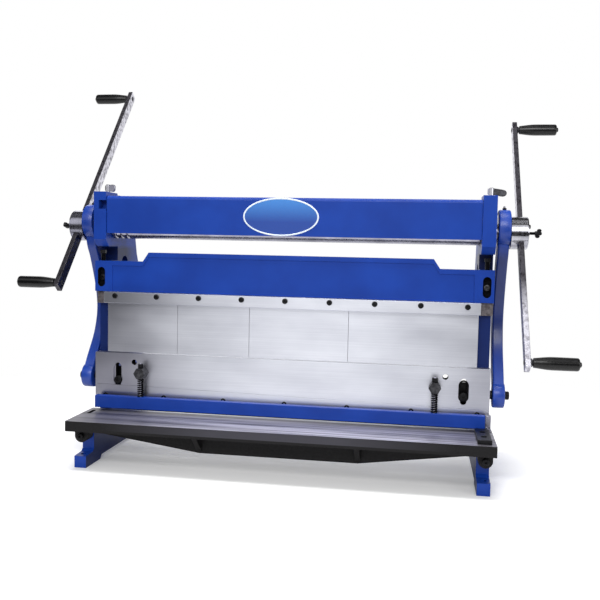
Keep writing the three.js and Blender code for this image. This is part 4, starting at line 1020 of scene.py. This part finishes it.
def makeArm(side, s):
    made = armShape
    faceIn, faceOut = armFaces[side]
    body = f"{side}_arm"
    centre = Vector((axisMiddle.y, axisMiddle.z + hubShape["throw"]))
    front, rear = [], []
    for k in range(made["steps"] + 1):
        t = k / made["steps"]
        tangent = (bowPoint(t + 0.01) - bowPoint(t - 0.01)).normalized()
        normal = Vector((tangent.y, -tangent.x)) * made["width"] / 2
        front.append(centre + bowPoint(t) + normal)
        rear.append(centre + bowPoint(t) - normal)
    band = prismMesh("band", [tuple(p) for p in front + rear[::-1]],
                     *sorted((s * (faceIn + made["bandIn"]), s * (faceOut - made["bandOut"]))))
    addPiece(f"{side}_link_arm_band", band, glossShadedBlue, body, (), "blue_enamel", made["chamfer"], 3, 40)
    boltY, boltZ = centre.x + made["back"], centre.y - made["low"]
    bosses = [bossMesh("strap", made["strapBore"], made["bossR"], side, s, 96, centre.x, centre.y),
              bossMesh("eye", made["boltBore"], made["smallR"], side, s, 72, boltY, boltZ)]
    addPiece(f"{side}_link_arm_bosses", joinMeshes("bosses", bosses), glossShadedBlue, body, [f"{side}_link_arm"])
    # grease nipple on top of the strap: a black hexagon with a bright ball end
    x, top = s * (faceIn + faceOut) / 2, centre.y + made["bossR"]
    base = prismMesh("nippleBase", ringOf(x, centre.x, made["nippleR"]),
                     *(top + z for z in made["nippleBase"]), "z")
    addPiece(f"{side}_grease_nipple_base", base, black, body, (), "black_steel")
    ball = turnedMesh("nipple", made["nipple"], 24, "z", 1, (x, centre.x, top))
    addPiece(f"{side}_grease_nipple", ball, polished, body, (), "bright_steel")
    # link bolt with its spacer
    neck, face = faceIn - made["gap"], faceOut + made["gap"]
    bolt = (placed(made["boltEnd"], made["spacer"]) + [(made["boltR"], neck), (made["boltNeck"], neck),
            (made["boltNeck"], face)] + placed(made["boltHead"], face))
    socket = prismMesh("socket", ringOf(boltY, boltZ, made["socketR"]),
                       *sorted(s * (face + x) for x in made["boltSocket"]))
    mesh = cutMesh(turnedMesh("linkBolt", bolt, 56, "x", s, (0, boltY, boltZ)), [socket], "linkBoltCut")
    addPiece(f"{side}_link_bolt_turned", mesh, black, body, [f"{side}_link_bolt"])


for side, s in sides:
    makeArm(side, s)
print("link arms made")

# Jack screws over the beam's ends: black threaded studs with a hexagon head. Knobs with a knurled
# edge sit on the rear studs.
jackShape = inMetres({"rootR": 4.3, "crestR": 5, "pitch": 1.5, "headTall": 7, "headR": 6.4})
knobShape = inMetres({"r": 12, "knurl": 0.7, "bore": 5.35}) | {"count": 48}


def makeJack(side):
    made = jackShape
    low, high, middle = boxOf(f"{side}_jack_screw")
    top = high.z - made["headTall"]
    profile = threadProfile(made["rootR"], made["crestR"], low.z, top, made["pitch"]) + [(0, top)]
    shank = turnedMesh("jackThread", profile, 32, "z", 1, (middle.x, middle.y, 0))
    head = prismMesh("jackHead", ringOf(middle.x, middle.y, made["headR"], 6, math.pi / 6), top, high.z, "z")
    addPiece(f"{side}_jack_screw_turned", joinMeshes("jack", [shank, head]), black, f"{side}_jack",
             [f"{side}_jack_screw"])


def makeKnob(side):
    made = knobShape
    low, high, middle = boxOf(f"{side}_rear_knob")
    around = ringOf(0, 0, 1, made["count"])
    outline = [(middle.x + (made["r"] - k % 2 * made["knurl"]) * u,
                middle.y + (made["r"] - k % 2 * made["knurl"]) * v) for k, (u, v) in enumerate(around)]
    knob = prismMesh("knob", outline, low.z, high.z, "z")
    hole = rodMesh("hole", made["bore"], low.z - 1 * mm, high.z + 1 * mm, 40, "z", 1, (middle.x, middle.y, 0))
    addPiece(f"{side}_rear_knob_turned", cutMesh(knob, [hole], "knobCut"), black, f"{side}_knob",
             [f"{side}_rear_knob"])


for side, s in sides:
    makeJack(side)
    makeKnob(side)

# Lock levers: a bright post through the housing's top, a short stub and a rounded paddle. The
# right one is dark and droops, the left one is bright.
leverShape = inMetres({"x": 399, "y": -42.07, "postR": 4.5, "postEdge": 0.8, "tall": 18, "thick": 4,
                       "edge": 1,
                       "paddle": {"left": [(2, 3.5), (17, 2.2), (20.5, 3.6), (22.3, 7), (22.3, 13),
                                           (20.6, 16.2), (17, 17.6), (2, 17.2)],
                                  "right": [(2, 4.5), (8, 3.6), (17, 1.2), (22, 0.6), (26.4, 1.8),
                                            (29, 4.8), (29.4, 8.4), (27.6, 12), (24, 13.8), (2, 17.4)]},
                       "stub": [(-7.4, 6), (-6.4, 4.6), (0, 4.2), (0, 17.2), (-5.6, 16.8),
                                (-7.4, 15)]}) | {"turn": {"left": -25, "right": -8}}


def leverPart(name, outline, material, side, s, nodes):
    made = leverShape
    mesh = prismMesh(name, outline, -made["thick"] / 2, made["thick"] / 2, "y")
    housing = boxOf(f"{side}_lock_lever")[1].z - made["tall"]
    mesh.transform(Matrix.Translation(Vector((s * made["x"], made["y"], housing))) @
                   Matrix.Rotation(math.radians(made["turn"][side]), 4, "Z"))
    addPiece(f"{side}_lock_lever_{name}", mesh, material, f"{side}_lever", nodes,
             None if nodes else "bright_steel", made["edge"], 3)


for side, s in sides:
    made = leverShape
    low, high, _ = boxOf(f"{side}_lock_lever")
    r, edge = made["postR"], made["postEdge"]
    post = [(0, low.z), (r, low.z), (r, high.z - edge), (r - edge, high.z), (0, high.z)]
    mesh = turnedMesh("leverPost", post, 40, "z", 1, (s * made["x"], made["y"], 0))
    addPiece(f"{side}_lock_lever_post", mesh, polished, f"{side}_lever", (), "bright_steel")
    paddleSteel, stubSteel = (phosphated, turned) if side == "right" else (turned, phosphated)
    leverPart("paddle", made["paddle"][side], paddleSteel, side, s, [f"{side}_lock_lever"])
    leverPart("stub", made["stub"], stubSteel, side, s, [])
print("levers made")

# Hold-down: a blue bar, bright guide rods with black nuts, and open coil springs.
holdShape = inMetres({"tall": 25.2, "edge": 1, "rodX": 300.8, "rodR": 3, "rodEdge": 0.6, "nutR": 6.1,
                      "nutTall": 9, "springR": 5.3, "wire": 1.35}) | {
    "curls": 8, "steps": 20, "ring": 8}
holdLow, holdHigh, holdMiddle = boxOf("hold_down_bar")
barTop = holdLow.z + holdShape["tall"]
holdBar = prismMesh("holdBar", rectangle((holdLow.y, holdLow.z), (holdHigh.y, barTop)), holdLow.x, holdHigh.x)
addPiece("hold_down_bar_cast", holdBar, blue, "hold_down", ["hold_down_bar"], None, holdShape["edge"], 3)


def springMesh(x, y, low, high):
    # half a turn lies flat at each end
    made = holdShape
    turns, wire = made["curls"] + 1, made["wire"]
    total = turns * made["steps"]
    points = []
    for k in range(total + 1):
        share = k / total
        rise = min(max((share * turns - 0.5) / made["curls"], 0.0), 1.0)
        turn = share * turns * 2 * math.pi
        points.append(Vector((x + made["springR"] * math.cos(turn), y + made["springR"] * math.sin(turn),
                              low + wire + rise * (high - low - 2 * wire))))
    rings = []
    for k, p in enumerate(points):
        along = (points[min(k + 1, total)] - points[max(k - 1, 0)]).normalized()
        out = Vector((p.x - x, p.y - y, 0)).normalized()
        up = along.cross(out).normalized()
        rings.append([p + wire * (u * out + v * up) for u, v in ringOf(0, 0, 1, made["ring"])])
    return skinMesh("spring", rings, caps=(0, -1), degrees=60)


for side, s in sides:
    made = holdShape
    x, y, nutTop = s * made["rodX"], holdMiddle.y, holdHigh.z - 1 * mm
    r, start = made["rodR"], barTop - 1 * mm
    rod = turnedMesh("guideRod", [(0, start), (r, start), (r, nutTop), (r - made["rodEdge"], holdHigh.z),
                                  (0, holdHigh.z)], 32, "z", 1, (x, y, 0))
    nut = prismMesh("nut", ringOf(x, y, made["nutR"]), nutTop - made["nutTall"], nutTop, "z")
    addPiece(f"{side}_guide_rod", rod, turned, "hold_down", (), "black_steel")
    addPiece(f"{side}_rod_nut", nut, black, "hold_down", (), "black_steel", made["rodEdge"])
    low, high, _ = boxOf(f"{side}_spring")
    spring = addPiece(f"{side}_spring_wound", springMesh(x, y, low.z, high.z), mattBlackAndShade, "ram",
                      [f"{side}_spring"])
    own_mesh(spring)
print("hold-down made")

# Camera: a 46 mm lens a little right of the middle, at the height of the rolls' lower edge.
cameraView = {"at": (271.8 * mm, -1598.27 * mm, 452.6 * mm), "yaw": 9.14, "pitch": 4.10, "roll": 1.19,
              "lens": 45.8, "sensor": 36, "far": 50}


def makeCamera():
    made = cameraView
    yaw, pitch, roll = (math.radians(made[k]) for k in ("yaw", "pitch", "roll"))
    ahead = Vector((-math.sin(yaw) * math.cos(pitch), math.cos(yaw) * math.cos(pitch), -math.sin(pitch)))
    right = Vector((math.cos(yaw), math.sin(yaw), 0))
    up = right.cross(ahead)
    across = right * math.cos(roll) + up * math.sin(roll)
    above = -right * math.sin(roll) + up * math.cos(roll)
    data = bpy.data.cameras.new("photoCamera")
    data.lens, data.sensor_width, data.clip_end = made["lens"], made["sensor"], made["far"]
    camera = addObject("photoCamera", data)
    turnedView = Matrix((across, above, -ahead)).transposed().to_4x4()
    camera.matrix_world = Matrix.Translation(Vector(made["at"])) @ turnedView
    bpy.context.scene.camera = camera


makeCamera()

# Floor: a pale sheet that fades into the white backdrop, so that only the shadow shows. The camera
# alone sees it a little brighter than it is lit (lift), but less in the front part of the table's
# shadow, from deepFrom to deepTo in y, where the lamps' shadows overlap least; that band is a painted shadow.
floorSheet = {"half": 4.0, "low": 0.3 * mm, "colour": "#f4f4f4", "fadeFrom": 0.7, "fadeTo": 1.3, "lift": 0.2,
              "less": 0.1, "deepFrom": -0.15, "deepTo": -0.215, "backFrom": -0.08, "backTo": -0.11}


def makeFloor():
    made = floorSheet
    h = made["half"]
    mesh = bpy.data.meshes.new("floorSheet")
    mesh.from_pydata([(-h, -h, 0), (h, -h, 0), (h, h, 0), (-h, h, 0)], [], [(0, 1, 2, 3)])
    floor = addObject("floor_sheet", mesh)
    floor.location.z = -made["low"]
    material, tree, body, place = startMaterial("paperFloor", {
        "Metallic": 0.0, "Roughness": 0.9, "Base Color": linearFromHex(made["colour"]),
        "Specular IOR Level": 0.0, "Emission Color": (1, 1, 1, 1)})
    y = axesOf(tree, place)["Y"]
    # painted shadow: the lift is smaller in this band in front of the table
    front = combine(tree, "MULTIPLY", rangeOf(tree, y, made["deepTo"], made["deepFrom"]),
                    rangeOf(tree, y, made["backFrom"], made["backTo"]))
    lift = combine(tree, "MULTIPLY",
                   rangeOf(tree, front, 0.0, 1.0, made["lift"], made["lift"] - made["less"]),
                   addNode(tree, "ShaderNodeLightPath").outputs["Is Camera Ray"])
    tree.links.new(lift, body.inputs["Emission Strength"])
    distance = addNode(tree, "ShaderNodeVectorMath", {"operation": "LENGTH"}, {0: place}).outputs["Value"]
    clear = addNode(tree, "ShaderNodeBsdfTransparent")
    mix = addNode(tree, "ShaderNodeMixShader", {}, {
        "Fac": rangeOf(tree, distance, made["fadeFrom"], made["fadeTo"]), 1: body.outputs["BSDF"],
        2: clear.outputs["BSDF"]})
    output = next(n for n in tree.nodes if n.type == "OUTPUT_MATERIAL")
    tree.links.new(mix.outputs["Shader"], output.inputs["Surface"])
    mesh.materials.append(material)


makeFloor()

# Studio: a white room seen by camera and gloss, a wide lamp above the front, one overhead, a fill
# from the right and one from behind. Each lamp has its place, aim, width, height and watts.
studio = {"roomGlow": 0.36, "seenGlow": 1.0,
          "lamps": (("keyLamp", (0.0, -2.7, 1.9), (0, 0, 0.3), 2.2, 1.2, 52.0),
                    ("topLamp", (0.0, -0.25, 2.6), (0, -0.1, 0.2), 1.8, 0.8, 62.0),
                    ("fillLamp", (2.6, -1.9, 0.9), (0.1, 0, 0.4), 1.2, 1.4, 14.0),
                    ("backLamp", (-1.2, 2.2, 2.2), (0, 0, 0.4), 1.6, 1.6, 12.0))}


def makeStudio():
    scene = bpy.context.scene
    scene.view_settings.view_transform = "Standard"
    world = bpy.data.worlds.new("studioRoom")
    scene.world = world
    world.use_nodes = True
    tree = world.node_tree
    tree.nodes.clear()
    output = tree.nodes.new("ShaderNodeOutputWorld")
    path = addNode(tree, "ShaderNodeLightPath").outputs
    seen = combine(tree, "MAXIMUM", path["Is Camera Ray"], path["Is Glossy Ray"])
    seen = combine(tree, "MAXIMUM", seen, path["Is Transmission Ray"])
    strength = rangeOf(tree, seen, 0.0, 1.0, studio["roomGlow"], studio["seenGlow"])
    glow = addNode(tree, "ShaderNodeBackground", {"Color": (1, 1, 1, 1)}, {"Strength": strength})
    tree.links.new(glow.outputs["Background"], output.inputs["Surface"])
    for name, at, to, wide, tall, power in studio["lamps"]:
        data = bpy.data.lights.new(name, "AREA")
        data.shape = "RECTANGLE"
        data.size, data.size_y, data.energy = wide, tall, power
        aim = (Vector(to) - Vector(at)).to_track_quat("-Z", "Y").to_matrix().to_4x4()
        addObject(name, data).matrix_world = Matrix.Translation(Vector(at)) @ aim


# Cards round the set that only gloss sees. They give the flat steel its darker left side and the
# turned steel its dark bands. Each has its low and high corner, and its greys along x.
cards = (("frontCard", (-3.0, -0.9, -0.02), (0.47, -0.9, 0.62),
          ((-0.95, 0.04), (-0.68, 0.1), (-0.42, 0.8), (-0.2, 1.15), (0.13, 1.1), (0.33, 0.8), (0.47, 0.42))),
         ("rightCard", (0.48, -0.95, 0.13), (2.6, -0.95, 0.57), ((0.5, 0.012), (1.0, 0.012))),
         ("ceilingCard", (-2.5, -0.7, 1.5), (2.5, 0.9, 1.5), ((0.0, 0.02), (1.0, 0.02))),
         ("hubCardLeft", (-0.8, -0.45, 0.37), (-0.57, -0.45, 0.55), ((0.0, 0.02), (1.0, 0.02))),
         ("hubCardRight", (0.478, -0.45, 0.36), (0.62, -0.45, 0.552), ((0.0, 0.02), (1.0, 0.02))),
         ("rollCard", (-0.379, -0.1, 0.4455), (0.379, -0.0665, 0.4455), ((0.0, 1.7), (1.0, 1.7))))


def makeCard(name, low, high, greys):
    mesh = bpy.data.meshes.new(name)
    corners = [low, (high[0], low[1], low[2]), high, (low[0], high[1], high[2])]
    mesh.from_pydata(corners, [], [(0, 1, 2, 3)])
    card = addObject(name, mesh)
    material = bpy.data.materials.new(name + "Paint")
    material.use_nodes = True
    tree = material.node_tree
    tree.nodes.clear()
    output = tree.nodes.new("ShaderNodeOutputMaterial")
    along = axesOf(tree, addNode(tree, "ShaderNodeTexCoord").outputs["Object"])["X"]
    grey = None
    for (a, _), (b, value) in zip(greys, greys[1:]):
        links = {"Factor": rangeOf(tree, along, a, b), **({} if grey is None else {2: grey})}
        grey = addNode(tree, "ShaderNodeMix", {"data_type": "FLOAT", 2: greys[0][1], 3: value},
                       links).outputs[0]
    glow = addNode(tree, "ShaderNodeEmission", {"Color": (1, 1, 1, 1)}, {"Strength": grey})
    tree.links.new(glow.outputs["Emission"], output.inputs["Surface"])
    mesh.materials.append(material)
    card.visible_camera = False
    card.visible_diffuse = False
    card.visible_shadow = False
    card.visible_transmission = False


makeStudio()
for card in cards:
    makeCard(*card)
print("stage and light set")
